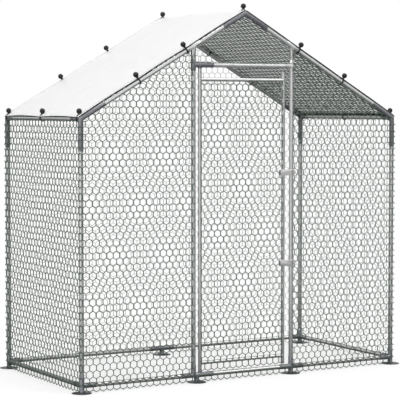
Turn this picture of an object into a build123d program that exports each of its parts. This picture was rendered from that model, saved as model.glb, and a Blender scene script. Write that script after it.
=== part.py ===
from build123d import *
import os
from cmath import rect
from math import asin, atan2, ceil, cos, degrees, pi, sin, sqrt

# Walk-in chicken coop: a tube frame under a gable, hexagonal netting, a pivot-hung door and a roof sheet.
# X runs along the front, Y from the front to the back and Z up, from the middle of the floor area.

# Frame, between the centre lines of its tubes
frame_width = 2000.0
frame_depth = 960.0
base_height = 40.0
eave_height = 1440.0
roof_rise = 574.0
left_jamb_x = -326.0
right_jamb_x = 306.0
lintel_drop = 98.5

# Tubes, and the sleeves of the fittings that they push into
tube_diameter = 25.0
tube_wall = 1.2
tube_end_gap = 0.3
tube_bore_sides = 8
sleeve_clearance = 0.2
sleeve_wall = 1.5
sleeve_sides = 16

# Reach of each fitting's sleeves from its centre
base_post_sleeve = 57.0
base_rail_sleeve = 80.0
eave_post_sleeve = 170.0
bar_sleeve = 95.0
rafter_sleeve = 160.0
rafter_tee_sleeve = 45.0
jamb_top_sleeve = 62.0
jamb_sleeve = 32.0
lintel_hinge_sleeve = 123.0
lintel_latch_sleeve = 46.0

# Round foot plates, dished up to the leg
foot_diameter = 108.0
foot_rim = 1.6
foot_height = 7.0
foot_crown_diameter = 36.0
foot_sides = 20

# Door, hung on pins in the ends of its hinge stile
hinge_gap = 41.0
latch_gap = 55.0
door_tube_diameter = 20.0
door_tube_wall = 1.2
door_head_gap = 79.0
door_bottom_rise = 65.0
latch_stile_horn = 43.0
sill_gap = 20.0
weld_gap = 0.2
pivot_boss_diameter = 24.0
pivot_shoulder = 19.0
pivot_pin_length = 36.0
pivot_clearance = 0.1

# Hasps, one strap on a pin in two knuckles, over a staple on the jamb
hasp_heights = (628.0, 1136.0)
strap_height = 34.0
strap_thickness = 2.5
strap_clearance = 0.5
slot_width = 13.0
slot_height = 20.0
hasp_pin_offset = 32.0
hasp_pin_diameter = 4.0
hasp_pin_clearance = 0.1
knuckle_diameter = 9.0
knuckle_height = 14.0
knuckle_gap = 0.4
knuckle_sides = 8
lug_height = 28.0
lug_thickness = 2.5
lug_foot_width = 14.0
staple_thickness = 4.0
staple_height = 14.0
staple_projection = 13.0
padlock_hole = 7.0
staple_sides = 8

# Netting: its holes are wider than the real wire's, so that each stays one plain hole
net_hole_width = 352.0
net_web = 8.0
net_border = 12.0
net_thickness = 1.6
net_gap = 0.3
net_seam = 1.0
net_ground_gap = 1.0
smallest_gap_side = 25.0

# Roof sheet and the ball bungees that tie it down
cover_thickness = 1.2
cover_gap = 0.3
cover_edge = 6.0
cover_eave_gap = 1.0
ball_diameter = 30.0
ball_lift = 39.5
ball_gap = 0.3
cord_width = 4.5
cord_gap = 0.5
cord_bends = 6
slit_clearance = 0.6
bungee_tee_gap = 5.0
back_bungee_gap = 28.0
lower_bungee_share = 0.545

# Sizes that follow from those above
half_width = frame_width / 2
half_depth = frame_depth / 2
apex_height = eave_height + roof_rise
slope = atan2(roof_rise, half_width)
tube_radius = tube_diameter / 2
sleeve_bore = tube_radius + sleeve_clearance
sleeve_radius = sleeve_bore + sleeve_wall
tube_stop = 2 * sleeve_radius
tube_end = tube_stop + tube_end_gap
door_radius = door_tube_diameter / 2
pivot_pin_radius = door_radius - door_tube_wall - pivot_clearance
hinge_x = left_jamb_x + hinge_gap
latch_x = right_jamb_x - latch_gap
hasp_pin_x = latch_x - hasp_pin_offset
net_pitch = net_hole_width + net_web
net_offset = sleeve_radius + net_gap
net_outside = net_offset + net_thickness
net_bottom = foot_height + net_ground_gap
cover_offset = net_outside + cover_gap

LEFT, RIGHT, FRONT, BACK = -1, 1, -1, 1
X, Y, Z = Vector(1, 0, 0), Vector(0, 1, 0), Vector(0, 0, 1)
UP_SLOPE = {LEFT: Vector(cos(slope), 0, sin(slope)), RIGHT: Vector(-cos(slope), 0, sin(slope))}
SLOPE_NORMAL = {LEFT: Vector(-sin(slope), 0, cos(slope)), RIGHT: Vector(sin(slope), 0, cos(slope))}
SIDE_NAME = {LEFT: "left", RIGHT: "right"}
END_NAME = {FRONT: "front", BACK: "back"}


def rafter_height(x):
    """Height of a rafter's centre line at a place along the front."""
    return apex_height - abs(x) * roof_rise / half_width


lintel_height = rafter_height(left_jamb_x) - lintel_drop
door_top = lintel_height - door_head_gap
door_bottom = base_height + door_bottom_rise


# Shapes shared by many pieces

def across(start, direction):
    """Plane square to a direction, turned so that the flat sides of neighbouring pieces line up."""
    return Plane(origin=start, x_dir=X if abs(direction.Y) > abs(direction.X + direction.Z) else Y, z_dir=direction)


def bar(start, end, section):
    """Straight bar of one section between two points."""
    return extrude(across(start, end - start) * section, (end - start).length)


def rod(start, end, radius):
    """Round bar between two points."""
    return bar(start, end, Circle(radius))


def tube_section(radius, wall):
    """Round tube with a flat-sided bore."""
    return Circle(radius) - RegularPolygon(radius - wall, tube_bore_sides, major_radius=False)


def frame_tube(start, end):
    """Tube between the centres of two fittings, short of each by the fitting's stop."""
    inset = (end - start).normalized() * tube_end
    return bar(start + inset, end - inset, tube_section(tube_radius, tube_wall))


def sleeve_outside(start, end):
    """Flat-sided outside of a sleeve between two points."""
    return bar(start, end, RegularPolygon(sleeve_radius, sleeve_sides))


def sleeve_inside(start, end):
    """Flat-sided bore of a sleeve between two points, just wider than a tube."""
    return bar(start, end, RegularPolygon(sleeve_bore, sleeve_sides, major_radius=False))


def sleeve(centre, direction, reach):
    """Outside of one sleeve of a fitting, from its centre."""
    return sleeve_outside(centre, centre + direction * reach)


def socket(centre, direction, reach):
    """Bore of one sleeve, from the tube's stop out through the sleeve's mouth."""
    return sleeve_inside(centre + direction * tube_stop, centre + direction * (reach + tube_radius))


def elbow_fitting(centre, sleeves):
    """Fitting whose first two sleeves, each a direction and a reach, meet in a mitre and the third at its side."""
    ends = [centre + direction * reach for direction, reach in sleeves]
    start = across(ends[0], centre - ends[0]) * RegularPolygon(sleeve_radius, sleeve_sides)
    elbow = sweep(start, path=Polyline(ends[0], centre, ends[1]), transition=Transition.RIGHT)
    return elbow + sleeve(centre, *sleeves[2]) - [socket(centre, *each) for each in sleeves]


def foot(x, y):
    """Leg under a base fitting with its dished plate."""
    leg = sleeve_outside(Vector(x, y, foot_rim), Vector(x, y, base_height))
    edge = Pos(x, y) * RegularPolygon(foot_diameter / 2, foot_sides)
    rise = foot_height - foot_rim
    run = (foot_diameter - foot_crown_diameter) / 2 * cos(pi / foot_sides)
    dish = extrude(Pos(0, 0, foot_rim) * edge, rise, taper=degrees(atan2(run, rise)))
    return extrude(edge, foot_rim) + dish + leg


def group(solids):
    """Like pieces kept together as separate solids."""
    return Compound([each.solid() for each in solids])


# Fittings

def eave_centre(side, end):
    """Where a post, a rafter and an eave bar meet."""
    return Vector(side * half_width, end * half_depth, eave_height)


def apex_centre(end):
    """Where two rafters and the ridge bar meet."""
    return Vector(0, end * half_depth, apex_height)


def base_centre(x, end):
    """A place on the centre line of the front or back base rails."""
    return Vector(x, end * half_depth, base_height)


def base_corner_foot(side, end):
    """Corner of the base, with a foot and sleeves for a post and two rails."""
    centre = base_centre(side * half_width, end)
    rails = [(X * -side, base_rail_sleeve), (Y * -end, base_rail_sleeve)]
    sleeves = rails + [(Z, base_post_sleeve)]
    body = foot(centre.X, centre.Y) + [sleeve(centre, *each) for each in sleeves]
    return body - [socket(centre, *each) for each in sleeves]


def base_tee_foot(left, right, end):
    """Straight base sleeve between two uprights, or under one, with a foot at its middle."""
    start = base_centre(left - base_rail_sleeve, end)
    finish = base_centre(right + base_rail_sleeve, end)
    return foot((left + right) / 2, start.Y) + sleeve_outside(start, finish)


def through_bore(left, right, end):
    """Bore right through a straight base sleeve."""
    start = base_centre(left - base_rail_sleeve - tube_radius, end)
    finish = base_centre(right + base_rail_sleeve + tube_radius, end)
    return sleeve_inside(start, finish)


def latch_jamb_foot():
    """Base tee under the latch jamb."""
    centre = base_centre(right_jamb_x, FRONT)
    body = base_tee_foot(right_jamb_x, right_jamb_x, FRONT) + sleeve(centre, Z, base_post_sleeve)
    return body - through_bore(right_jamb_x, right_jamb_x, FRONT) - socket(centre, Z, base_post_sleeve)


def hinge_jamb_foot():
    """Base tee under the hinge jamb, with the door's lower pivot beside the jamb's sleeve."""
    jamb = base_centre(left_jamb_x, FRONT)
    body = base_tee_foot(left_jamb_x, hinge_x, FRONT) + sleeve(jamb, Z, base_post_sleeve)
    body += pivot(base_centre(hinge_x, FRONT), Z)
    return body - through_bore(left_jamb_x, hinge_x, FRONT) - socket(jamb, Z, base_post_sleeve)


def back_foot():
    """Base sleeve that joins the two back rails, with a foot and no post."""
    return base_tee_foot(0, 0, BACK) - through_bore(0, 0, BACK)


def pivot(centre, direction):
    """Boss with a shoulder and the pin that the door's hinge stile turns on."""
    shoulder = centre + direction * pivot_shoulder
    boss = bar(centre, shoulder, RegularPolygon(pivot_boss_diameter / 2, sleeve_sides))
    return boss + rod(shoulder, shoulder + direction * pivot_pin_length, pivot_pin_radius)


def eave_corner(side, end):
    """Corner at the eave with sleeves for a post, a rafter and an eave bar."""
    sleeves = [(-Z, eave_post_sleeve), (UP_SLOPE[side], rafter_sleeve), (Y * -end, bar_sleeve)]
    return elbow_fitting(eave_centre(side, end), sleeves)


def apex_joint(end):
    """Joint at the gable's top with sleeves for two rafters and the ridge bar."""
    sleeves = [(-UP_SLOPE[LEFT], rafter_sleeve), (-UP_SLOPE[RIGHT], rafter_sleeve), (Y * -end, bar_sleeve)]
    return elbow_fitting(apex_centre(end), sleeves)


def rafter_tee(side, jamb_x):
    """Sleeve on a front rafter with a socket for the top of a jamb."""
    centre = jamb_top(jamb_x)
    half = UP_SLOPE[side] * rafter_tee_sleeve
    body = sleeve_outside(centre - half, centre + half) + sleeve(centre, -Z, jamb_top_sleeve)
    beyond = UP_SLOPE[side] * (rafter_tee_sleeve + tube_radius)
    return body - sleeve_inside(centre - beyond, centre + beyond) - socket(centre, -Z, jamb_top_sleeve)


def lintel_tee(jamb_x, direction, reach):
    """Sleeve on a jamb with a socket for an end of the lintel."""
    centre = Vector(jamb_x, FRONT * half_depth, lintel_height)
    half = Z * jamb_sleeve
    return sleeve_outside(centre - half, centre + half) + sleeve(centre, direction, reach)


def lintel_tee_bores(jamb_x, direction, reach):
    """Bores of a lintel tee: one for the jamb, right through, and one for the lintel."""
    centre = Vector(jamb_x, FRONT * half_depth, lintel_height)
    beyond = Z * (jamb_sleeve + tube_radius)
    return [sleeve_inside(centre - beyond, centre + beyond), socket(centre, direction, reach)]


def hinge_lintel_tee():
    """Lintel tee on the hinge jamb, with the door's upper pivot under its long sleeve."""
    upper_pivot = pivot(Vector(hinge_x, FRONT * half_depth, lintel_height), -Z)
    sizes = (left_jamb_x, X, lintel_hinge_sleeve)
    return lintel_tee(*sizes) + upper_pivot - lintel_tee_bores(*sizes)


def latch_lintel_tee():
    """Lintel tee on the latch jamb."""
    sizes = (right_jamb_x, -X, lintel_latch_sleeve)
    return lintel_tee(*sizes) - lintel_tee_bores(*sizes)


def jamb_top(jamb_x):
    """Where a jamb meets its rafter."""
    return Vector(jamb_x, FRONT * half_depth, rafter_height(jamb_x))


# Door

def door_point(x, z):
    """A place on the door's middle plane."""
    return Vector(x, FRONT * half_depth, z)


def door_tube(start, end):
    """Tube of the door's size."""
    return bar(start, end, tube_section(door_radius, door_tube_wall))


def hinge_stile():
    """Stile that turns on the two pivot pins in its round bore."""
    low = base_height + pivot_shoulder + tube_end_gap
    high = lintel_height - pivot_shoulder - tube_end_gap
    section = Circle(door_radius) - Circle(door_radius - door_tube_wall)
    return bar(door_point(hinge_x, low), door_point(hinge_x, high), section)


def latch_stile():
    """Stile that carries the hasps, from just over the sill to above the top rail."""
    low = base_height + sill_gap
    high = door_top + latch_stile_horn
    return door_tube(door_point(latch_x, low), door_point(latch_x, high))


def door_rail(height):
    """Cross rail, coped at both ends to sit against the stiles."""
    reach = Z * door_tube_diameter
    ends = [door_point(hinge_x, height), door_point(latch_x, height)]
    copes = [rod(each - reach, each + reach, door_radius + weld_gap) for each in ends]
    return door_tube(*ends) - copes


# Hasps

strap_back = half_depth + net_outside + strap_clearance
strap_middle = strap_back + strap_thickness / 2
lug_front = strap_middle - strap_thickness / 2 - lug_thickness / 2
lug_back = lug_front - lug_thickness
knuckle_reach = knuckle_diameter / 2 + knuckle_gap


def upright_plate(outline, back, thickness):
    """Plate parallel to the front, from its back face forwards."""
    return extrude(Plane(origin=(0, -back, 0), x_dir=X, z_dir=-Y) * outline, thickness)


def hasp_bar(height, length, section):
    """Upright bar on the hasp's hinge line."""
    half = Z * (length / 2)
    centre = Vector(hasp_pin_x, -strap_middle, height)
    return bar(centre - half, centre + half, section)


def hasp_knuckle(height, length):
    """Rolled knuckle of a strap or a lug, with flat sides."""
    return hasp_bar(height, length, RegularPolygon(knuckle_diameter / 2, knuckle_sides))


def hasp_strap(height):
    """Strap with a round slotted end and one knuckle, cut back beside the lug's knuckles."""
    length = right_jamb_x - hasp_pin_x
    blank = Pos(hasp_pin_x + length / 2, height) * Rectangle(length, strap_height)
    blank += Pos(right_jamb_x, height) * Circle(strap_height / 2)
    blank -= Pos(right_jamb_x, height) * Rectangle(slot_width, slot_height)
    blank -= Pos(hasp_pin_x, height) * Rectangle(2 * knuckle_reach, strap_height)
    tongue = Pos(hasp_pin_x + knuckle_reach / 2, height) * Rectangle(knuckle_reach, knuckle_height)
    plate = upright_plate(blank + tongue, strap_back, strap_thickness)
    bore = hasp_bar(height, strap_height, Circle(hasp_pin_diameter / 2 + hasp_pin_clearance))
    return plate + hasp_knuckle(height, knuckle_height) - bore


def hasp_lug(height):
    """Lug on the latch stile with two knuckles and, between them, the pin that the strap turns on."""
    length = latch_x + lug_foot_width / 2 - hasp_pin_x
    outline = Pos(hasp_pin_x + length / 2, height) * Rectangle(length, lug_height)
    room = knuckle_height + 2 * knuckle_gap
    outline -= Pos(hasp_pin_x, height) * Rectangle(2 * knuckle_reach, room)
    plate = upright_plate(outline, lug_back, lug_thickness)
    foot_outline = Pos(latch_x, height) * Rectangle(lug_foot_width, lug_height)
    seat = rod(door_point(latch_x, height - lug_height), door_point(latch_x, height + lug_height),
               door_radius + weld_gap)
    stile_foot = upright_plate(foot_outline, half_depth, lug_back - half_depth) - seat
    knuckles = hasp_knuckle(height, lug_height) - hasp_bar(height, room, Circle(knuckle_diameter))
    pin = hasp_bar(height, knuckle_height + 3 * knuckle_gap, Circle(hasp_pin_diameter / 2))
    return plate + stile_foot + knuckles + pin


def hasp_staple(height):
    """Eye on the latch jamb that stands through the strap's slot and takes a padlock."""
    tip = strap_back + strap_thickness + staple_projection
    eye_centre = tip - staple_height / 2
    length = eye_centre - half_depth
    eye = RegularPolygon(staple_height / 2, staple_sides, major_radius=False)
    hole = RegularPolygon(padlock_hole / 2, staple_sides, major_radius=False)
    outline = Pos(-eye_centre, height) * (eye - hole)
    outline += Pos(-half_depth - length / 2, height) * (Rectangle(length, staple_height) - Pos(-length / 2, 0) * eye)
    plane = Plane(origin=(right_jamb_x - staple_thickness / 2, 0, 0), x_dir=Y, z_dir=X)
    reach = Z * staple_height
    centre = door_point(right_jamb_x, height)
    return extrude(plane * outline, staple_thickness) - rod(centre - reach, centre + reach, tube_radius + weld_gap)


# Ball bungees

def bungee_loop(place, tube_size, width, ball_room):
    """Elastic loop round a tube, with both ends drawn up to the ball, in a plane square to the tube."""
    radius = tube_size + cord_gap + cord_width / 2
    lean = asin(radius / ball_lift)
    inner = half_loop(radius - width / 2, lean, ball_room)
    outer = half_loop(radius + width / 2, lean, ball_room)
    outline = inner + [(-x, y) for x, y in inner[::-1]] + [(-x, y) for x, y in outer] + outer[::-1]
    return extrude(place * make_face(Polyline(*outline, close=True)), width / 2, both=True)


def half_loop(radius, lean, ball_room):
    """Points of one edge of a loop, from its end under the ball down its right side to its lowest bends."""
    leg = (ball_lift * cos(lean)) - (ball_diameter / 2 + ball_room) / cos(lean)
    turn = (pi + 2 * lean) / cord_bends
    points = [(radius * cos(lean) - leg * sin(lean), radius * sin(lean) + leg * cos(lean))]
    for bend in range(cord_bends // 2):
        corner = rect(radius / cos(turn / 2), lean - turn * (bend + 0.5))
        points.append((corner.real, corner.imag))
    return points


def bungee_place(centre, along, up):
    """Plane of a bungee: its origin on the tube's centre line, its Y towards the ball."""
    return Plane(origin=centre, x_dir=up.cross(along), z_dir=along)


def corner_inset(end):
    """Step along an eave or ridge bar that clears the fitting's own corner."""
    return Y * (-end * (sleeve_radius + cord_gap + cord_width / 2))


def rafter_bungees(side, end):
    """Places of the two bungees along one rafter, below where the jamb meets it or would meet it."""
    jamb_x = left_jamb_x if side == LEFT else right_jamb_x
    tee_distance = (half_width - abs(jamb_x)) / cos(slope)
    gap = rafter_tee_sleeve + bungee_tee_gap if end == FRONT else back_bungee_gap
    upper = tee_distance - gap
    places = []
    for distance in (upper * lower_bungee_share, upper):
        centre = eave_centre(side, end) + UP_SLOPE[side] * distance
        places.append((bungee_place(centre, UP_SLOPE[side], SLOPE_NORMAL[side]), tube_radius))
    return places


def corner_bungee(side, end):
    """Place of the bungee beside an eave corner, round the eave bar's sleeve."""
    return bungee_place(eave_centre(side, end) + corner_inset(end), Y, Z), sleeve_radius


def eave_bungee(side):
    """Place of the bungee at the middle of an eave bar."""
    return bungee_place(Vector(side * half_width, 0, eave_height), Y, Z), tube_radius


def apex_bungee(end):
    """Place of the bungee beside a gable's top, round the ridge bar's sleeve."""
    return bungee_place(apex_centre(end) + corner_inset(end), Y, Z), sleeve_radius


def bungee_cord(place, tube_size):
    """The loop itself, ending just under the ball."""
    return bungee_loop(place, tube_size, cord_width, ball_gap)


def bungee_slit(place, tube_size):
    """Room that the loop takes where it goes through netting and sheet."""
    return bungee_loop(place, tube_size, cord_width + 2 * slit_clearance, -slit_clearance)


def bungee_ball(place, tube_size):
    """Ball on the end of a loop, with flat sides."""
    block = Box(ball_diameter, ball_diameter, ball_diameter)
    ball = chamfer(block.edges(), ball_diameter * (1 - sqrt(0.5)))
    return place * Pos(0, ball_lift, 0) * ball


end_bungees = {
    end: [apex_bungee(end)]
    + [corner_bungee(side, end) for side in (LEFT, RIGHT)]
    + [each for side in (LEFT, RIGHT) for each in rafter_bungees(side, end)]
    for end in (FRONT, BACK)
}
side_bungees = {
    side: [eave_bungee(side)] + [corner_bungee(side, end) for end in (FRONT, BACK)] for side in (LEFT, RIGHT)
}
bungees = end_bungees[FRONT] + end_bungees[BACK] + [eave_bungee(LEFT), eave_bungee(RIGHT)]


# Netting

def depth_inside(point, start, end):
    """Distance of a point inside one edge of an outline that runs anticlockwise, less the border."""
    return ((end - start).conjugate() * (point - start)).imag / abs(end - start) - net_border


def clipped(points, outline):
    """Part of a gap that lies inside a convex outline and its border."""
    for start, end in zip(outline, outline[1:] + outline[:1]):
        kept = []
        for here, there in zip(points, points[1:] + points[:1]):
            near = depth_inside(here, start, end)
            far = depth_inside(there, start, end)
            if near >= 0:
                kept.append(here)
            if near * far < 0:
                kept.append(here + (there - here) * near / (near - far))
        points = kept
    return points


def area(points):
    """Area of a polygon."""
    return sum((a.conjugate() * b).imag for a, b in zip(points, points[1:] + points[:1])) / 2


def hexagon(centre):
    """Gap of the netting, with two upright sides."""
    radius = net_hole_width / sqrt(3)
    return [centre + rect(radius, pi / 2 + turn * pi / 3) for turn in range(6)]


def net_gaps(outline):
    """Gaps of the netting over an outline, row by row from its lowest corner."""
    row_step = net_pitch * sqrt(3) / 2
    left = min(point.real for point in outline)
    bottom = min(point.imag for point in outline)
    columns = ceil((max(point.real for point in outline) - left) / net_pitch) + 1
    rows = ceil((max(point.imag for point in outline) - bottom) / row_step) + 1
    gaps = []
    for row in range(rows):
        for column in range(columns):
            shift = 0.5 * (row % 2)
            gap = clipped(hexagon(complex(left + (column + shift) * net_pitch, bottom + row * row_step)), outline)
            if area(gap) > smallest_gap_side ** 2:
                gaps.append(gap)
    return gaps


def net(plane, outline, slits):
    """Netting over a convex outline: one holed face with a thickness, slit where cords pass."""
    def loop(points):
        corners = [plane.from_local_coords(Vector(point.real, point.imag)) for point in points]
        return Wire.make_polygon(corners, close=True)

    sheet = extrude(Face(loop(outline), [loop(gap) for gap in net_gaps(outline)]), net_thickness)
    return sheet - [bungee_slit(*each) for each in slits] if slits else sheet


def end_plane(end, offset):
    """Plane in front of the gable frame, or behind it, that faces outwards."""
    return Plane(origin=(0, end * (half_depth + offset), 0), x_dir=X * -end, z_dir=Y * end)


def side_plane(side):
    """Plane beside an eave wall that faces outwards."""
    return Plane(origin=(side * (half_width + net_offset), 0, 0), x_dir=Y * side, z_dir=X * side)


def roof_plane(side):
    """Plane over the rafters of one slope that faces outwards, with its Y up the slope from the eave."""
    origin = eave_centre(side, 0) + SLOPE_NORMAL[side] * net_offset
    return Plane(origin=origin, x_dir=Y * side, z_dir=SLOPE_NORMAL[side])


def under_roof(x):
    """Top edge of the end nets at a place along the front."""
    return rafter_height(x) + sleeve_radius / cos(slope)


wall_edge = half_width + sleeve_radius


def front_net(inner, outer, bottom):
    """Netting of the front between two uprights, up to the rafters."""
    low, high = min(inner, outer), max(inner, outer)
    outline = [complex(low, bottom), complex(high, bottom), complex(high, under_roof(high))]
    if low * high < 0:
        outline.append(complex(0, under_roof(0)))
    outline.append(complex(low, under_roof(low)))
    return net(end_plane(FRONT, net_offset), outline, end_bungees[FRONT])


def back_net():
    """Netting of the whole back gable."""
    outline = [
        complex(-wall_edge, net_bottom),
        complex(wall_edge, net_bottom),
        complex(wall_edge, under_roof(wall_edge)),
        complex(0, under_roof(0)),
        complex(-wall_edge, under_roof(wall_edge)),
    ]
    return net(end_plane(BACK, net_offset), outline, end_bungees[BACK])


def side_net(side):
    """Netting of an eave wall."""
    edge = half_depth + sleeve_radius
    outline = [
        complex(-edge, net_bottom),
        complex(edge, net_bottom),
        complex(edge, eave_height),
        complex(-edge, eave_height),
    ]
    return net(side_plane(side), outline, side_bungees[side])


def roof_net(side):
    """Netting of one roof slope, from the eave bar to the ridge."""
    edge = half_depth + cover_edge
    ridge = half_width / cos(slope) + net_offset * sin(slope) / cos(slope) - net_seam
    outline = [complex(-edge, 0), complex(edge, 0), complex(edge, ridge), complex(-edge, ridge)]
    return net(roof_plane(side), outline, bungees)


def door_net():
    """Netting of the door, hung one row below its bottom rail."""
    bottom = base_height + pivot_shoulder + net_ground_gap
    right = latch_x - lug_foot_width / 2 - net_seam
    top = door_top + door_radius
    outline = [complex(hinge_x, bottom), complex(right, bottom), complex(right, top), complex(hinge_x, top)]
    return net(end_plane(FRONT, door_radius + net_gap), outline, [])


# Roof sheet

def cover_edge_points(offset):
    """Eave, ridge and eave points of the sheet's section at an offset from the rafters' centre lines."""
    low = eave_centre(LEFT, 0) + UP_SLOPE[LEFT] * cover_eave_gap + SLOPE_NORMAL[LEFT] * offset
    ridge = apex_height + offset / cos(slope)
    return [(low.X, low.Z), (0, ridge), (-low.X, low.Z)]


def roof_cover():
    """Sheet over both slopes, with an eyelet slit for each bungee."""
    points = cover_edge_points(cover_offset) + cover_edge_points(cover_offset + cover_thickness)[::-1]
    length = frame_depth + 2 * cover_edge
    section = make_face(Polyline(*points, close=True))
    start = Plane(origin=(0, half_depth + cover_edge, 0), x_dir=X, z_dir=-Y)
    return extrude(start * section, length) - [bungee_slit(*each) for each in bungees]


# The whole coop

def frame_parts():
    """Tubes of the frame."""
    parts = {}
    for end in (FRONT, BACK):
        for side in (LEFT, RIGHT):
            name = f"{END_NAME[end]}_{SIDE_NAME[side]}"
            eave = eave_centre(side, end)
            parts[f"{name}_post"] = frame_tube(base_centre(side * half_width, end), eave)
            parts[f"{name}_rafter"] = frame_tube(eave, apex_centre(end))
    for side in (LEFT, RIGHT):
        base = [base_centre(side * half_width, end) for end in (FRONT, BACK)]
        parts[f"{SIDE_NAME[side]}_base_rail"] = frame_tube(*base)
        parts[f"{SIDE_NAME[side]}_eave_bar"] = frame_tube(*[eave_centre(side, end) for end in (FRONT, BACK)])
        parts[f"back_{SIDE_NAME[side]}_base_rail"] = frame_tube(base[1], base_centre(0, BACK))
    parts["front_left_base_rail"] = frame_tube(base_centre(-half_width, FRONT), base_centre(left_jamb_x, FRONT))
    parts["door_sill"] = frame_tube(base_centre(hinge_x, FRONT), base_centre(right_jamb_x, FRONT))
    parts["front_right_base_rail"] = frame_tube(base_centre(right_jamb_x, FRONT), base_centre(half_width, FRONT))
    parts["ridge_bar"] = frame_tube(apex_centre(FRONT), apex_centre(BACK))
    parts["hinge_jamb"] = frame_tube(base_centre(left_jamb_x, FRONT), jamb_top(left_jamb_x))
    parts["latch_jamb"] = frame_tube(base_centre(right_jamb_x, FRONT), jamb_top(right_jamb_x))
    parts["door_lintel"] = frame_tube(door_point(left_jamb_x, lintel_height), door_point(right_jamb_x, lintel_height))
    return parts


def fitting_parts():
    """Fittings that hold the tubes, like ones together."""
    corners = [(side, end) for end in (FRONT, BACK) for side in (LEFT, RIGHT)]
    return {
        "base_corner_feet": group(base_corner_foot(*each) for each in corners),
        "base_tee_feet": group([hinge_jamb_foot(), latch_jamb_foot(), back_foot()]),
        "eave_corners": group(eave_corner(*each) for each in corners),
        "apex_joints": group(apex_joint(end) for end in (FRONT, BACK)),
        "rafter_tees": group([rafter_tee(LEFT, left_jamb_x), rafter_tee(RIGHT, right_jamb_x)]),
        "lintel_tees": group([hinge_lintel_tee(), latch_lintel_tee()]),
    }


def door_parts():
    """Door, its hasps and the staples on the jamb."""
    return {
        "door_hinge_stile": hinge_stile(),
        "door_latch_stile": latch_stile(),
        "door_top_rail": door_rail(door_top),
        "door_bottom_rail": door_rail(door_bottom),
        "door_net": door_net(),
        "hasp_lugs": group(hasp_lug(height) for height in hasp_heights),
        "lower_hasp_strap": hasp_strap(hasp_heights[0]),
        "upper_hasp_strap": hasp_strap(hasp_heights[1]),
        "hasp_staples": group(hasp_staple(height) for height in hasp_heights),
    }


def covering_parts():
    """Netting, roof sheet and bungees."""
    inner_right = right_jamb_x + staple_thickness / 2 + net_seam
    return {
        "front_left_net": front_net(-wall_edge, left_jamb_x - net_seam, net_bottom),
        "front_right_net": front_net(inner_right, wall_edge, net_bottom),
        "front_gable_net": front_net(left_jamb_x, right_jamb_x, lintel_height),
        "left_net": side_net(LEFT),
        "right_net": side_net(RIGHT),
        "back_net": back_net(),
        "roof_nets": group([roof_net(LEFT), roof_net(RIGHT)]),
        "roof_cover": roof_cover(),
        "bungee_cords": group(bungee_cord(*each) for each in bungees),
        "bungee_balls": group(bungee_ball(*each) for each in bungees),
    }


def main():
    """Write each piece to its own file."""
    os.makedirs("parts", exist_ok=True)
    for pieces in (frame_parts(), fitting_parts(), door_parts(), covering_parts()):
        for name, piece in pieces.items():
            export_step(piece, f"parts/{name}.step")


main()
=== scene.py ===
from math import asin, atan2, ceil, cos, exp, floor, hypot, pi, radians, sin, sqrt, tan

import bmesh
import bpy
from bpy.props import FloatProperty, FloatVectorProperty, PointerProperty
from mathutils import Matrix, Vector


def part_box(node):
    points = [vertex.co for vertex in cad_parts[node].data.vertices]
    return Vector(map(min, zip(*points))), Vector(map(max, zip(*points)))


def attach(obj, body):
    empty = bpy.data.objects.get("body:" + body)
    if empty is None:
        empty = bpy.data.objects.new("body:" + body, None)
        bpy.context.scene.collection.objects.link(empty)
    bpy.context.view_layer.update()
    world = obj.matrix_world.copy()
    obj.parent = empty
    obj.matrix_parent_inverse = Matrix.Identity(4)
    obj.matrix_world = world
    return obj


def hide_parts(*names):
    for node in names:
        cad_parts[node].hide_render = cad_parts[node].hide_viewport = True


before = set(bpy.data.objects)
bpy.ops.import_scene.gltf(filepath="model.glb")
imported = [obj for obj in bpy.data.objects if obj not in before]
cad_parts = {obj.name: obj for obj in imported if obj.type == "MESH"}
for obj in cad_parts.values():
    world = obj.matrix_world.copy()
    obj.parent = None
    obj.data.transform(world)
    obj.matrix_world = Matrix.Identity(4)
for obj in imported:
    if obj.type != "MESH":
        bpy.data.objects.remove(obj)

bl_info = {
    "name": "Walk-in Coop",
    "version": (1, 0, 0),
    "blender": (4, 5, 0),
    "location": "3D View > Sidebar > Coop",
    "description": "Nets, roof sheet, bungees, fixings and finishes of a walk-in chicken coop",
    "category": "Object",
}

# Sizes read from the packed solids, in metres

LEFT, RIGHT = SIDES = (-1, 1)
FRONT, BACK = ENDS = (-1, 1)
X, Y, Z = Vector((1, 0, 0)), Vector((0, 1, 0)), Vector((0, 0, 1))


def middle(node):
    """Centre of a node's box."""
    low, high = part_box(node)
    return (low + high) / 2


def extent(node):
    """Size of a node's box."""
    low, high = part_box(node)
    return high - low


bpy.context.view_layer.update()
HALF_WIDTH = middle("right_eave_bar").x
HALF_DEPTH = middle("back_left_post").y
EAVE_HEIGHT = middle("left_eave_bar").z
APEX_HEIGHT = middle("ridge_bar").z
BASE_HEIGHT = middle("left_base_rail").z
LINTEL_HEIGHT = middle("door_lintel").z
JAMB_X = {LEFT: middle("hinge_jamb").x, RIGHT: middle("latch_jamb").x}
TUBE_RADIUS = extent("ridge_bar").x / 2
SLEEVE_RADIUS = -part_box("rafter_tees")[0].y - HALF_DEPTH
FOOT_REACH = extent("base_corner_feet").x / 2 - HALF_WIDTH
SLOPE = atan2(APEX_HEIGHT - EAVE_HEIGHT, HALF_WIDTH)
SLOPE_LENGTH = HALF_WIDTH / cos(SLOPE)
NET_LIFT = -middle("front_left_net").y - HALF_DEPTH
NET_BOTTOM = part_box("back_net")[0].z

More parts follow.
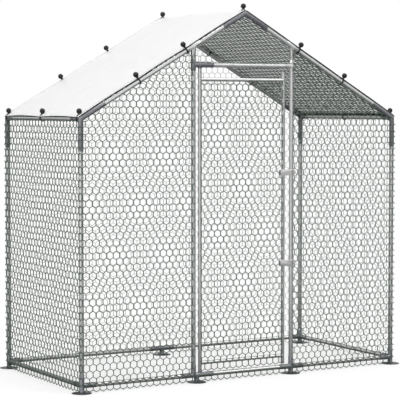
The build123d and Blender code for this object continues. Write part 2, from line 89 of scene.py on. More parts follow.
# Nets: height of the lowest wires, drop of an upper edge below its tube's middle, top of the door's net,
# gap at the ridge, shares of the sink for door and roof, lift of the first row, a twist's width and depth as
# shares of the wire, the shares of a gap's width under which a side is a stub and over which it is a pair,
# how finely wires, cords and twists are drawn, height from which a panel is looked for, share of a wire's
# ends under which it is left out, slip of an upright side, and scale and detail of the stray
NET_GROUND = 0.0036
NET_OVERLAP = TUBE_RADIUS * 0.75
DOOR_NET_TOP = middle("door_top_rail").z - extent("door_top_rail").z * 0.3
RIDGE_GAP = 0.004
DOOR_SINK, ROOF_SINK = 0.6, 2.2
ROW_LIFT = 0.0003
TWIST_WIDTH, TWIST_DEPTH = 0.96, 0.52
STUB_SHARE, PAIR_SHARE = 0.1, 0.55
WIRE_SIDES, CORD_SIDES, TWIST_POINTS = 6, 8, 6
PROBE_HEIGHT, INSIDE_SHARE, UPRIGHT_SLIP = 0.1, 0.25, 0.0001
STRAY_SCALE, STRAY_DETAIL = 7.0, 1.0

# Roof sheet: height of its middle over the nets and the tubes' centre lines, wrap round the eaves, half its
# sizes, its grid's cells, reach of the ripple behind an edge, waves of the swell as radians per metre and a
# start, where the back piping changes from one face to the other and how far it lies off the sheet's middle
SHEET_OVER_NET, EAVE_WRAP = 0.0017, 0.009
SHEET_LIFT = NET_LIFT + SHEET_OVER_NET
RIDGE_ALONG = SLOPE_LENGTH + SHEET_LIFT * tan(SLOPE)
SHEET_REACH, SHEET_EDGE = RIDGE_ALONG + EAVE_WRAP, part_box("roof_cover")[1].y
CELL_S, CELL_T = 0.018, 0.02
RIPPLE_REACH = 0.04
SWELL_S, SWELL_T = (5.1, 1.3), (6.7, 0.4)
PIPING_TURN, PIPING_LIFT = 0.1, 0.3

# Eyelets: least room to the sheet's gable edge and to the eave, half the span that gives an eyelet's slant,
# half length of the punch, number of sides, and the rim's form as shares of the way from hole to rim, steps
# outwards and heights
EYELET_EDGE, EYELET_EAVE = 0.004, 0.005
EYELET_SPAN, PUNCH, EYELET_SIDES = 0.002, 0.01, 16
EYELET_FORM = (
    (0, 0, -0.0012), (0, 0, 0.0010), (0, 0.0008, 0.0017), (0.5, 0, 0.0015), (1, -0.0005, 0.0007), (1, 0, 0),
    (1, -0.0003, -0.0012), (0, 0, -0.0012),
)

# Bungees: room between loop and tube, inset of the balls over a sleeve's end, and the legs' drop below the
# ball, half gap there, height over which they spread, share of their full lean by then, step that tells
# their slope, and steps of half a loop; the neck's radius as a share of the ball's, its end's share of that,
# drops of end and rim below the ball, share of the radius at the seam, and steps and sides of the ball
CORD_ROOM, BALL_INSET = 0.0005, 0.00275
LEG_DROP, LEG_GAP, LEG_SPREAD, LEG_LEAN = 0.001, 0.0028, 0.004, 0.9
LEG_STEP, LOOP_STEPS = 0.001, 8
NECK, NECK_FACE, NECK_END, NECK_RIM = 0.40, 0.8, 0.0038, 0.003
SEAM, BALL_STEPS, BALL_SIDES = 0.985, 14, 24

# Rounded copies: half width of the hasps' rolled knuckles, distance under which points are one, steps of a
# rounding, turns under which faces are one flat, over which an edge is rounded and over which it stays sharp
KNUCKLE, WELD, ROUNDING_STEPS = 0.0095, 1e-6, 2
FLAT_TURN, ROUND_TURN, SHARP_TURN = radians(1), radians(32), radians(33)

# Screws: height over the base, drop below the eave, reach along base rails, slopes, bars and jambs, depth of
# the seat, and forms of flange and head as shares of half the head's width and heights, with their sides
POST_SCREW, EAVE_SCREW, RAIL_SCREW = 0.045, 0.155, 0.066
SLOPE_SCREW, BAR_SCREW, JAMB_SCREW = 0.145, 0.082, 0.024
SCREW_SEAT = 0.0004
FLANGE, FLANGE_SIDES = ((1.45, 0.0), (1.45, 0.0008), (1.1, 0.0012)), 12
HEXAGON, HEXAGON_SIDES = ((1.05, 0.0011), (1.05, 0.0038), (0.8, 0.0044)), 6

# Ties: shift and radius of a ring where one net or two are held; heights and places; and the tail's bends as
# steps inwards, sideways and along the tube
ONE_NET, TWO_NETS = (0.0018, 0.0152), (0.0028, 0.0158)
TIE_STEPS = 14
POST_TIES, JAMB_TIES = (0.370, 0.735, 1.095), (0.528, 0.709, 0.951, 1.299)
SIDE_TIES = (0.25, 0.5, 0.75)
RAIL_TIES = {FRONT: (-0.78, -0.55, 0.53, 0.76), BACK: (-0.72, -0.42, 0.42, 0.72)}
TAIL_START = 0.0134
TAIL = (
    (0, 0, 0), (0.0030, 0.0012, 0.0020), (0.0044, -0.0010, 0.0050), (0.0040, 0.0008, 0.0085),
    (0.0030, 0, 0.0120),
)

# Nodes that keep their solids, and nodes that get rounded copies
TUBE_KINDS = ("rail", "post", "rafter", "stile", "lintel", "sill", "jamb", "bar")
TUBES = [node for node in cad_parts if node.endswith(TUBE_KINDS)]
# Tubes near the ground, whose zinc is painted darker as shade near the floor
GROUND_TUBES = ("base_rail", "door_sill")
FITTINGS = ("apex_joints", "base_corner_feet", "base_tee_feet", "eave_corners", "lintel_tees", "rafter_tees")
HASPS = {
    "hasp_lugs": "door", "hasp_staples": "frame",
    "lower_hasp_strap": "lower_hasp", "upper_hasp_strap": "upper_hasp",
}

# Finishes of metal: their colours' name in the settings, grain, roughness and its spread, depth of the grain,
# tint of the edge sheen, how metallic and how glossy
FINISHES = {
    "coop_tube_zinc": ("tube", 160.0, 0.22, 0.10, 0.0002, 0.2, 0.88, 0.5),
    # The ground tubes' finish carries painted shade near the floor
    "coop_ground_zinc_painted_shade": ("base", 160.0, 0.26, 0.10, 0.0002, 0.2, 0.88, 0.5),
    "coop_fitting_coat": ("fitting", 260.0, 0.28, 0.14, 0.0002, 0.3, 0.8, 0.5),
    "coop_hasp_plating": ("hasp", 420.0, 0.34, 0.12, 0.0001, 0.6, 1.0, 0.5),
    "coop_new_zinc": ("hasp", 600.0, 0.28, 0.10, 0.0001, 0.7, 1.0, 0.5),
    "coop_wire_zinc": ("wire", 90.0, 0.50, 0.15, 0.0001, 0.6, 0.0, 0.25),
    # The fine wire's finish carries painted light: its colours are lighter than the same wire on the near
    # nets
    "coop_fine_wire_painted_light": ("fine", 90.0, 0.45, 0.15, 0.0001, 0.5, 0.3, 0.5),
    # The roof wire's finish carries painted shade: its colours are darker than the same wire elsewhere
    "coop_roof_wire_painted_shade": ("roof", 90.0, 0.50, 0.15, 0.0001, 0.6, 0.0, 0.25),
}

# Patterns: scale, detail and roughness of the zinc's blotches, the sheet's clouds, a grain and its shade;
# share of the blotches beside the crystals, and strength of the zinc's bump
BLOTCH, CLOUD = (0.22, 4.0, 0.6), (9.0, 6.0, 0.65)
GRAIN, GRAIN_SHADE = (1.0, 3.0, 0.5), (0.06, 3.0, 0.5)
BLOTCH_SHARE, ZINC_BUMP = 0.6, 0.25

# Coated and moulded faces: plain gloss, range of the shade that counts, tones and roughness spread of sheet
# and plastic, tapes per metre, strength and depth of the weave, depth to which light enters the sheet; and
# black finishes as their grain, roughness, and strength and depth of the grain
SOFT_GLOSS = 0.35
SHADE_LOW, SHADE_HIGH = 0.3, 0.7
SHEET_TONES, PLASTIC_TONES = (0.965, 1.02), (0.75, 1.35)
SHEET_SPREAD, PLASTIC_SPREAD = (-0.08, 0.08), (-0.06, 0.08)
TAPES, WEAVE, GLOW_DEPTH = 330.0, (0.3, 0.0002), 0.013
TOP_ROUGHNESS, UNDERSIDE_ROUGHNESS = 0.42, 0.55
BLACKS = {
    # The piping's black is painted shade along the sheet's edge
    "coop_piping_painted_shade": (700.0, 0.6, (0.3, 0.0002)), "coop_braid": (1600.0, 0.62, (0.6, 0.0004)),
    "coop_moulding": (1200.0, 0.34, (0.1, 0.0001)),
}

# Stage: dark cards that only gloss shows, each as its turn from the photograph's view, height, half widths
# where it begins and is full, and how dark it is; one bright card likewise, with what it adds to white; and
# lamps, each as its place, aim, size, power and whether gloss shows it
CARDS = ((97.0, -40.0, 47.0, 43.0, 1.0), (34.0, -6.0, 20.0, 12.0, 1.0), (-98.0, -40.0, 47.0, 43.0, 0.75))
BRIGHT_CARD = (88.0, 53.0, 19.0, 9.0, 2.4)
LAMPS = {
    "key_lamp": ((-6.0, -5.0, 6.5), (0, 0, 1.0), 3.5, 320, True),
    "side_lamp": ((4.2, -5.5, 6.0), (0, 0, 1.0), 3.5, 225, False),
    "low_lamp": ((-7.0, -1.0, 0.8), (0.5, 0, 1.6), 2.5, 110, False),
    "top_lamp": ((0.5, 1.0, 8.0), (0, 0, 1.0), 3.0, 150, True),
}
WHITE, BLACK, CARD_BLACK = (1, 1, 1, 1), (0, 0, 0, 1), (0.03, 0.03, 0.035, 1)
# Floor: its form and finish, distances between which it turns to plain white, and how much less gloss shows
# of it; and the camera's sensor in millimetres and end of sight
FLOOR_RADII, FLOOR_SIDES, FLOOR_HEIGHT, FLOOR_ROUGHNESS = (0, 3, 5), 48, -0.0005, 0.9
FLOOR_NEAR, FLOOR_FAR, FLOOR_IN_GLOSS = 1.5, 3.2, 0.4
SENSOR_WIDTH, SIGHT_END = 36, 200


def up_slope(side):
    """Direction up one roof slope."""
    return Vector((-side * cos(SLOPE), 0, sin(SLOPE)))


def roof_normal(side):
    """Direction out of one roof slope."""
    return Vector((side * sin(SLOPE), 0, cos(SLOPE)))


def eave_point(side, y):
    """Point on the centre line of an eave bar."""
    return Vector((side * HALF_WIDTH, y, EAVE_HEIGHT))


# What a user would change

def amount(name, description, default, least=0.0, **kind):
    """Setting of a number, with its unit or subtype."""
    return FloatProperty(name=name, description=description, default=default, min=least, **kind)


def metres(name, description, default, least=0.0):
    """Setting of a length."""
    return amount(name, description, default, least, unit="LENGTH")


def colour(name, description, default):
    """Setting of a colour."""
    return FloatVectorProperty(
        name=name, description=description, default=default, min=0, max=1, subtype="COLOR")


def angle(name, description, default):
    """Setting of an angle."""
    return amount(name, description, default, -pi, subtype="ANGLE", unit="ROTATION")


class CoopNetSettings(bpy.types.PropertyGroup):
    """Sizes and colours of the hexagon netting."""

    gap_width: metres("Gap width", "Width of one hexagon between its twisted sides", 0.040, 0.01)
    wire: metres("Wire", "Thickness of the wire", 0.0050, 0.0005)
    fine_wire: metres("Fine wire", "Thickness of the wire of the back and right nets", 0.0025, 0.0005)
    roof_wire: metres("Roof wire", "Thickness of the wire under the roof sheet", 0.0054, 0.0005)
    gable_wire: metres("Gable wire", "Thickness of the wire over the door", 0.0024, 0.0005)
    sink: metres("Sink", "How far the wires lie inside the middle of the solid nets", 0.0014)
    twist_turns: amount("Twist turns", "Turns of the pair along one hexagon side", 1.25)
    waviness: metres("Waviness", "How far the mesh strays from true hexagons", 0.004)
    wire_light: colour("Light wire", "Brighter zinc on the wire", (0.136, 0.190, 0.144))
    wire_dark: colour("Dark wire", "Dull zinc on the wire", (0.084, 0.123, 0.090))
    # The fine wire's colours are the same wire painted lighter: painted light that makes the back, right and
    # gable nets fainter
    fine_light: colour("Light fine wire", "Brighter zinc on the fine wire", (0.33, 0.372, 0.335))
    fine_dark: colour("Dark fine wire", "Dull zinc on the fine wire", (0.212, 0.248, 0.216))
    # The roof wire's colours are the same wire painted far darker: painted shade under the roof sheet
    roof_light: colour("Light roof wire", "Brighter zinc under the roof sheet", (0.039, 0.050, 0.041))
    roof_dark: colour("Dark roof wire", "Dull zinc under the roof sheet", (0.0195, 0.0255, 0.0205))


class CoopMetalSettings(bpy.types.PropertyGroup):
    """Colours of the tubes, fittings and hasps."""

    tube_light: colour("Tube light", "Brighter zinc on the tubes", (0.76, 0.77, 0.765))
    tube_dark: colour("Tube dark", "Duller zinc on the tubes", (0.55, 0.56, 0.56))
    # The tubes near the ground get darker zinc colours: painted shade near the floor
    base_light: colour("Base light", "Brighter zinc on the tubes near the ground", (0.72, 0.725, 0.72))
    base_dark: colour("Base dark", "Duller zinc on the tubes near the ground", (0.50, 0.505, 0.505))
    fitting_light: colour("Fitting light", "Brighter coat on the fittings", (0.30, 0.305, 0.33))
    fitting_dark: colour("Fitting dark", "Darker coat on the fittings", (0.17, 0.175, 0.19))
    hasp_light: colour("Hasp light", "Brighter plating on the hasps", (0.84, 0.84, 0.83))
    hasp_dark: colour("Hasp dark", "Duller plating on the hasps", (0.68, 0.68, 0.675))
    edge: metres("Rounded edge", "Width of the rounding along sharp edges", 0.0006)


class CoopSheetSettings(bpy.types.PropertyGroup):
    """Sizes and colours of the roof sheet."""

    thickness: metres("Thickness", "Thickness of the sheet", 0.0012, 0.0003)
    hem_width: metres("Hem width", "Width of the welded hem", 0.026, 0.005)
    hem_thickness: metres("Hem thickness", "Thickness that the hem adds", 0.0008, 0.0002)
    ridge_rounding: metres("Ridge rounding", "How softly the sheet bends over the ridge", 0.006, 0.001)
    scallop: metres("Scallop", "How far an edge draws in between two bungees", 0.004)
    ripple: metres("Ripple", "How far an edge lifts between two bungees", 0.0022)
    swell: metres("Swell", "Broad unevenness of the stretched sheet", 0.0014)
    bead: metres("Piping", "Thickness of the piping along the edge", 0.0050, 0.001)
    # The piping is a near-black cord along the sheet's edge: partly a real edge cord, its black is painted
    # shade along the edge
    piping: colour("Piping colour", "Colour of the piping", (0.035, 0.037, 0.036))
    top: colour("Top", "Colour of the upper face", (0.85, 0.85, 0.85))
    # The underside is painted darker and greener than the top: painted shade under the roof on a sheet that
    # is white on both faces
    underside: colour("Underside", "Colour of the lower face", (0.648, 0.742, 0.678))


class CoopBungeeSettings(bpy.types.PropertyGroup):
    """Sizes and colours of the ball bungees."""

    ball: metres("Ball", "Diameter of a ball", 0.030, 0.005)
    lift: metres("Lift", "Height of a ball's centre over the tube's centre line", 0.0395, 0.02)
    cord: metres("Cord", "Thickness of the elastic cord", 0.0062, 0.001)
    front_gap: metres("Front gap", "Distance from a jamb to the upper bungee of a front rafter", 0.050)
    back_gap: metres("Back gap", "The same distance on a back rafter, where no jamb stands", 0.028)
    lower_share: amount(
        "Lower bungee", "Place of the lower bungee as a share of the upper one's", 0.545, max=1,
        subtype="FACTOR")
    black: colour("Black", "Colour of balls and cords", (0.009, 0.009, 0.0095))


class CoopFixingSettings(bpy.types.PropertyGroup):
    """Sizes of screws, eyelets and tie wires."""

    screw_head: metres("Screw head", "Width of a screw's hexagon head", 0.0075, 0.002)
    eyelet_hole: metres("Eyelet hole", "Diameter of an eyelet's hole", 0.0092, 0.002)
    eyelet_rim: metres("Eyelet rim", "Diameter of an eyelet's rim", 0.0180, 0.004)
    tie_wire: metres("Tie wire", "Thickness of the tie wire", 0.0015, 0.0005)


class CoopStageSettings(bpy.types.PropertyGroup):
    """Camera, lamps and floor."""

    camera_place: FloatVectorProperty(
        name="Camera place", description="Where the camera stands", default=(-4.6738, -8.1198, 1.5120),
        subtype="TRANSLATION", unit="LENGTH")
    camera_turn: angle("Camera turn", "Turn of the camera about the vertical", radians(-29.88))
    camera_dip: angle("Camera dip", "How far the camera looks down", radians(3.35))
    lens: amount("Lens", "Focal length in millimetres", 146.2, 1)
    floor: colour("Floor", "Colour of the floor", (0.48, 0.48, 0.48))
    floor_glow: amount("Floor glow", "Lift of the floor near the object towards the white background", 0.64)
    ambient: amount("Ambient", "Level of the light from all around", 0.36)


SETTINGS = {
    "coop_net": CoopNetSettings, "coop_metal": CoopMetalSettings, "coop_sheet": CoopSheetSettings,
    "coop_bungee": CoopBungeeSettings, "coop_fixing": CoopFixingSettings, "coop_stage": CoopStageSettings,
}


# Node trees

def feed(tree, sockets, values):
    """Sets or links sockets; a node given as a value stands for its first output."""
    for key, value in values.items():
        if isinstance(value, bpy.types.Node):
            value = value.outputs[0]
        if isinstance(value, bpy.types.NodeSocket):
            tree.links.new(value, sockets[key])
        else:
            sockets[key].default_value = value


def add(tree, kind, values=None, **settings):
    """New node with its settings made and its inputs fed."""
    made = tree.nodes.new(kind)
    for name, setting in settings.items():
        setattr(made, name, setting)
    feed(tree, made.inputs, values or {})
    return made


def sum_of(tree, operation, *values):
    """One step of arithmetic."""
    return add(tree, "ShaderNodeMath", dict(enumerate(values)), operation=operation)


def vector_of(tree, operation, *values):
    """One step of arithmetic with vectors."""
    return add(tree, "ShaderNodeVectorMath", dict(enumerate(values)), operation=operation)


def scaled(tree, vector, factor):
    """A vector times a number."""
    return add(tree, "ShaderNodeVectorMath", {0: vector, "Scale": factor}, operation="SCALE")


def blended(tree, share, first, second, way="MIX"):
    """Two colours as one."""
    return add(
        tree, "ShaderNodeMix", {0: share, 6: first, 7: second}, data_type="RGBA", blend_type=way).outputs[2]


def new_tree(name, kind, inputs, outputs):
    """Empty node group with named sockets, and what comes in and goes out."""
    tree = bpy.data.node_groups.new(name, kind)
    for in_out, named in (("OUTPUT", outputs), ("INPUT", inputs)):
        for label, socket in named.items():
            tree.interface.new_socket(label, in_out=in_out, socket_type="NodeSocket" + socket)
    return tree, tree.nodes.new("NodeGroupInput").outputs, tree.nodes.new("NodeGroupOutput").inputs


def shared(name, make):
    """A node group made once and found again by its name."""
    return bpy.data.node_groups.get(name) or make(name)


def shape_tree(name, inputs):
    """Empty geometry tree that takes a shape, some named values and a material."""
    return new_tree(name, "GeometryNodeTree", {"Geometry": "Geometry", **inputs, "Material": "Material"}, {
        "Geometry": "Geometry"})


def end_shape(tree, given, out, shapes):
    """Last nodes of a geometry tree: copies made real, smooth shading, material."""
    together = tree.nodes.new("GeometryNodeJoinGeometry")
    for shape in shapes:
        feed(tree, together.inputs, {0: shape})
    real = add(tree, "GeometryNodeRealizeInstances", {"Geometry": together})
    smooth = add(tree, "GeometryNodeSetShadeSmooth", {"Geometry": real})
    painted = add(tree, "GeometryNodeSetMaterial", {"Geometry": smooth, "Material": given["Material"]})
    feed(tree, out, {"Geometry": painted})
    return tree


def swept(tree, path, section):
    """Solid drawn along a path."""
    return add(tree, "GeometryNodeCurveToMesh", {"Curve": path, "Profile Curve": section, "Fill Caps": True})


def round_wire(tree, mesh, diameter, sides):
    """Round wire along the edges of a mesh."""
    path = add(tree, "GeometryNodeMeshToCurve", {"Mesh": mesh})
    ring = add(tree, "GeometryNodeCurvePrimitiveCircle", {
        "Resolution": sides, "Radius": sum_of(tree, "DIVIDE", diameter, 2.0)})
    return swept(tree, path, ring)


def wire_tree(name):
    """Tree that draws round wire along the edges of a mesh."""
    tree, given, out = shape_tree(name, {"Diameter": "Float", "Sides": "Int"})
    wire = round_wire(tree, given["Geometry"], given["Diameter"], given["Sides"])
    return end_shape(tree, given, out, [wire])


def copies_tree(name):
    """Tree that sets a copy of a shape on each point, turned by the point's own axes."""
    tree, given, out = shape_tree(name, {"Shape": "Object"})
    shape = add(tree, "GeometryNodeObjectInfo", {"Object": given["Shape"]})
    up, across = (
        add(tree, "GeometryNodeInputNamedAttribute", {"Name": label}, data_type="FLOAT_VECTOR")
        for label in ("up", "across"))
    turn = add(
        tree, "FunctionNodeAxesToRotation", {"Primary Axis": up, "Secondary Axis": across}, primary_axis="Z",
        secondary_axis="X")
    copies = add(tree, "GeometryNodeInstanceOnPoints", {
        "Points": given["Geometry"], "Instance": shape.outputs["Geometry"], "Rotation": turn})
    return end_shape(tree, given, out, [copies])


def net_lattice(tree, given):
    """Hexagons of the netting, from a grid whose odd rows are shifted by half a gap."""
    width = given["Gap width"]
    row_step = sum_of(tree, "MULTIPLY", width, sqrt(3) / 2)
    size_x = sum_of(tree, "MULTIPLY", sum_of(tree, "SUBTRACT", given["Columns"], 1.0), width)
    size_y = sum_of(tree, "MULTIPLY", sum_of(tree, "SUBTRACT", given["Rows"], 1.0), row_step)
    grid = add(tree, "GeometryNodeMeshGrid", {
        "Size X": size_x, "Size Y": size_y, "Vertices X": given["Columns"], "Vertices Y": given["Rows"]})
    place = add(tree, "ShaderNodeSeparateXYZ", {0: add(tree, "GeometryNodeInputPosition")}).outputs
    half_x, half_y = (sum_of(tree, "DIVIDE", size, 2.0) for size in (size_x, size_y))
    row = sum_of(tree, "ROUND", sum_of(tree, "DIVIDE", sum_of(tree, "ADD", place["Y"], half_y), row_step))
    shift = sum_of(tree, "MULTIPLY", sum_of(tree, "MODULO", row, 2.0), sum_of(tree, "DIVIDE", width, 2.0))
    step = add(tree, "ShaderNodeCombineXYZ", {"X": sum_of(tree, "ADD", shift, half_x), "Y": half_y})
    rows = add(tree, "GeometryNodeSetPosition", {
        "Geometry": grid, "Offset": vector_of(tree, "ADD", step, given["First gap"])})
    halves = add(tree, "GeometryNodeTriangulate", {"Mesh": rows}, quad_method="SHORTEST_DIAGONAL")
    return add(tree, "GeometryNodeDualMesh", {"Mesh": halves})


def without_edges(tree, shape, chosen):
    """A mesh without some of its edges."""
    return add(
        tree, "GeometryNodeDeleteGeometry", {"Geometry": shape, "Selection": chosen}, domain="EDGE",
        mode="EDGE_FACE")


def net_trimmed(tree, given, lattice):
    """Hexagons cut to the panel: wires that cross its edge end on it."""
    above = vector_of(tree, "ADD", add(tree, "GeometryNodeInputPosition"), (0.0, 0.0, PROBE_HEIGHT))
    hit = add(tree, "GeometryNodeRaycast", {
        "Target Geometry": given["Geometry"], "Source Position": above, "Ray Direction": (0.0, 0.0, -1.0),
        "Ray Length": 1.0}).outputs["Is Hit"]
    inside = add(tree, "GeometryNodeFieldOnDomain", {0: hit}, data_type="FLOAT", domain="POINT")
    kept = without_edges(tree, lattice, sum_of(tree, "LESS_THAN", inside, INSIDE_SHARE))
    crossing = add(tree, "FunctionNodeBooleanMath", {0: hit}, operation="NOT")
    edge = add(tree, "GeometryNodeProximity", {"Target": given["Geometry"]}, target_element="FACES")
    return add(tree, "GeometryNodeSetPosition", {
        "Geometry": kept, "Selection": crossing, "Position": edge.outputs["Position"]})


def net_sides(tree, given, trimmed):
    """Upright sides to be twisted pairs as the selection, and all other wires as its opposite."""
    ends = tree.nodes.new("GeometryNodeInputMeshEdgeVertices").outputs
    run = vector_of(tree, "SUBTRACT", ends["Position 2"], ends["Position 1"])
    length = vector_of(tree, "LENGTH", run).outputs["Value"]
    stub = sum_of(tree, "LESS_THAN", length, sum_of(tree, "MULTIPLY", given["Gap width"], STUB_SHARE))
    sideways = add(tree, "ShaderNodeSeparateXYZ", {0: run}).outputs["X"]
    upright = sum_of(tree, "LESS_THAN", sum_of(tree, "ABSOLUTE", sideways), UPRIGHT_SLIP)
    full = sum_of(tree, "GREATER_THAN", length, sum_of(tree, "MULTIPLY", given["Gap width"], PAIR_SHARE))
    return add(tree, "GeometryNodeSeparateGeometry", {
        "Geometry": without_edges(tree, trimmed, stub), "Selection": sum_of(tree, "MULTIPLY", upright, full)},
        domain="EDGE").outputs


def net_twist(tree, given):
    """One twisted pair, as long as a hexagon's side."""
    half = sum_of(tree, "DIVIDE", given["Gap width"], 2 * sqrt(3))
    low = add(tree, "ShaderNodeCombineXYZ", {"Y": sum_of(tree, "MULTIPLY", half, -1.0)})
    high = add(tree, "ShaderNodeCombineXYZ", {"Y": half})
    line = add(tree, "GeometryNodeCurvePrimitiveLine", {"Start": low, "End": high})
    steps = add(tree, "GeometryNodeResampleCurve", {"Curve": line, "Count": TWIST_POINTS})
    along = tree.nodes.new("GeometryNodeSplineParameter").outputs["Factor"]
    turn = sum_of(tree, "MULTIPLY", along, sum_of(tree, "MULTIPLY", given["Twist turns"], 2 * pi))
    tilted = add(tree, "GeometryNodeSetCurveTilt", {"Curve": steps, "Tilt": turn})
    return swept(tree, tilted, add(tree, "GeometryNodeCurvePrimitiveQuadrilateral", {
        "Width": given["Twist width"], "Height": given["Twist depth"]}))


def net_strayed(tree, given, shape):
    """Netting drawn a little out of true within its own plane."""
    wander = add(
        tree, "ShaderNodeTexNoise", {"Scale": STRAY_SCALE, "Detail": STRAY_DETAIL}, noise_dimensions="3D")
    centred = vector_of(tree, "SUBTRACT", wander.outputs["Color"], (0.5, 0.5, 0.5))
    flat = vector_of(tree, "MULTIPLY", centred, (1.0, 1.0, 0.0))
    return add(tree, "GeometryNodeSetPosition", {
        "Geometry": shape, "Offset": scaled(tree, flat, given["Waviness"])})


def net_tree(name):
    """Tree that fills a flat panel with hexagon netting."""
    tree, given, out = shape_tree(name, {
        "Gap width": "Float", "First gap": "Vector", "Columns": "Int", "Rows": "Int", "Wire": "Float",
        "Twist width": "Float", "Twist depth": "Float", "Twist turns": "Float", "Waviness": "Float"})
    sides = net_sides(tree, given, net_trimmed(tree, given, net_lattice(tree, given)))
    centres = add(tree, "GeometryNodeMeshToPoints", {"Mesh": sides["Selection"]}, mode="EDGES")
    twists = add(tree, "GeometryNodeInstanceOnPoints", {
        "Points": centres, "Instance": net_twist(tree, given)})
    pairs = add(tree, "GeometryNodeRealizeInstances", {"Geometry": twists})
    wires = round_wire(tree, sides["Inverted"], given["Wire"], WIRE_SIDES)
    return end_shape(tree, given, out, [net_strayed(tree, given, shape) for shape in (pairs, wires)])


# Shader groups

SURFACE = {"Height": "Float", "Shade": "Float"}


def object_place(tree, scale):
    """Object coordinates at a scale."""
    return scaled(tree, tree.nodes.new("ShaderNodeTexCoord").outputs["Object"], scale)


def noise(tree, place, scale, detail, roughness):
    """Soft irregular pattern."""
    return add(tree, "ShaderNodeTexNoise", {
        "Vector": place, "Scale": scale, "Detail": detail, "Roughness": roughness})


def zinc_mottle(name):
    """Crystals and blotches of a zinc coat."""
    tree, given, out = new_tree(
        name, "ShaderNodeTree",
        {"Light": "Color", "Dark": "Color", "Grain": "Float", "Roughness": "Float", "Spread": "Float"},
        {"Colour": "Color", "Roughness": "Float", "Height": "Float"})
    place = object_place(tree, given["Grain"])
    crystals = add(tree, "ShaderNodeTexVoronoi", {"Vector": place, "Scale": 1.0}, feature="F1")
    shade = add(tree, "ShaderNodeSeparateColor", {0: crystals.outputs["Color"]})
    blotch = noise(tree, place, *BLOTCH)
    mottle = add(tree, "ShaderNodeMix", {0: BLOTCH_SHARE, 2: shade, 3: blotch}, data_type="FLOAT")
    change = sum_of(tree, "MULTIPLY", sum_of(tree, "SUBTRACT", mottle, 0.5), given["Spread"])
    feed(tree, out, {
        "Colour": blended(tree, mottle, given["Dark"], given["Light"]),
        "Roughness": sum_of(tree, "ADD", given["Roughness"], change), "Height": blotch})
    return tree


def tape_weave(name):
    """Flat tapes woven over and under, as in a coated sheet."""
    tree, given, out = new_tree(name, "ShaderNodeTree", {"Grain": "Float"}, SURFACE)
    place = add(tree, "ShaderNodeUVMap", uv_map="flat")
    tapes = add(tree, "ShaderNodeSeparateXYZ", {0: scaled(tree, place, given["Grain"])}).outputs
    warp, weft = (sum_of(tree, "SINE", sum_of(tree, "MULTIPLY", tapes[axis], 2 * pi)) for axis in "XY")
    feed(tree, out, {
        "Height": sum_of(tree, "MULTIPLY", warp, weft), "Shade": noise(tree, place, *CLOUD)})
    return tree


def fine_grain(name):
    """Fine irregular grain of moulded plastic or braided yarn."""
    tree, given, out = new_tree(name, "ShaderNodeTree", {"Grain": "Float"}, SURFACE)
    place = object_place(tree, given["Grain"])
    feed(tree, out, {"Height": noise(tree, place, *GRAIN), "Shade": noise(tree, place, *GRAIN_SHADE)})
    return tree


# Materials

def blank_material(name, values):
    """Material with only its shader, whose plain values are set on its own sockets."""
    material = bpy.data.materials.new(name)
    material.use_nodes = True
    shader = material.node_tree.nodes["Principled BSDF"]
    feed(material.node_tree, shader.inputs, values)
    return material, material.node_tree, shader


def bumped(tree, height, strength, distance):
    """Normal from a height."""
    return add(tree, "ShaderNodeBump", {"Height": height, "Strength": strength, "Distance": distance})


def solid_colour(setting):
    """A colour setting as a shader value."""
    return (*setting, 1.0)


def metal(name, settings):
    """One of the metal finishes, made once."""
    if name in bpy.data.materials:
        return bpy.data.materials[name]
    colours, grain, roughness, spread, depth, edge_tint, metallic, gloss = FINISHES[name]
    material, tree, shader = blank_material(name, {
        "Metallic": metallic, "Specular IOR Level": gloss,
        "Specular Tint": (edge_tint, edge_tint, edge_tint, 1.0)})
    mottle = add(tree, "ShaderNodeGroup", {
        "Light": solid_colour(getattr(settings, colours + "_light")),
        "Dark": solid_colour(getattr(settings, colours + "_dark")), "Grain": grain, "Roughness": roughness,
        "Spread": spread}, node_tree=shared("Zinc mottle", zinc_mottle)).outputs
    feed(tree, shader.inputs, {
        "Base Color": mottle["Colour"], "Roughness": mottle["Roughness"],
        "Normal": bumped(tree, mottle["Height"], ZINC_BUMP, depth)})
    return material


def toned(name, setting, group, grain, roughness, bump, tones, spread, plain=None):
    """Material whose colour and roughness vary with a group's shade, and whose bump is its height."""
    material, tree, shader = blank_material(name, {"Specular IOR Level": SOFT_GLOSS, **(plain or {})})
    surface = add(tree, "ShaderNodeGroup", {"Grain": grain}, node_tree=group).outputs
    tone = add(tree, "ShaderNodeMapRange", {
        "Value": surface["Shade"], "From Min": SHADE_LOW, "From Max": SHADE_HIGH, "To Min": tones[0],
        "To Max": tones[1]})
    gloss = add(tree, "ShaderNodeMapRange", {
        "Value": surface["Shade"], "To Min": roughness + spread[0], "To Max": roughness + spread[1]})
    feed(tree, shader.inputs, {
        "Base Color": blended(tree, 1.0, solid_colour(setting), tone, "MULTIPLY"), "Roughness": gloss,
        "Normal": bumped(tree, surface["Height"], *bump)})
    return material


def sheet_face(name, setting, roughness, glow):
    """One face of the woven and coated roof sheet, which may let light through."""
    return toned(
        name, setting, shared("Tape weave", tape_weave), TAPES, roughness, WEAVE, SHEET_TONES, SHEET_SPREAD, {
            "Subsurface Weight": glow, "Subsurface Radius": (1.0, 1.0, 1.0), "Subsurface Scale": GLOW_DEPTH})


def black_plastic(name, setting):
    """One of the black finishes, of moulded plastic or braided cord."""
    group = shared("Fine grain", fine_grain)
    return toned(name, setting, group, *BLACKS[name], PLASTIC_TONES, PLASTIC_SPREAD)


# Shapes

def put(name, data):
    """New object in the scene."""
    made = bpy.data.objects.new(name, data)
    bpy.context.scene.collection.objects.link(made)
    return made


def modify(source, kind, **settings):
    """Adds a modifier with its settings made."""
    modifier = source.modifiers.new(kind, kind)
    for name, setting in settings.items():
        setattr(modifier, name, setting)
    return modifier


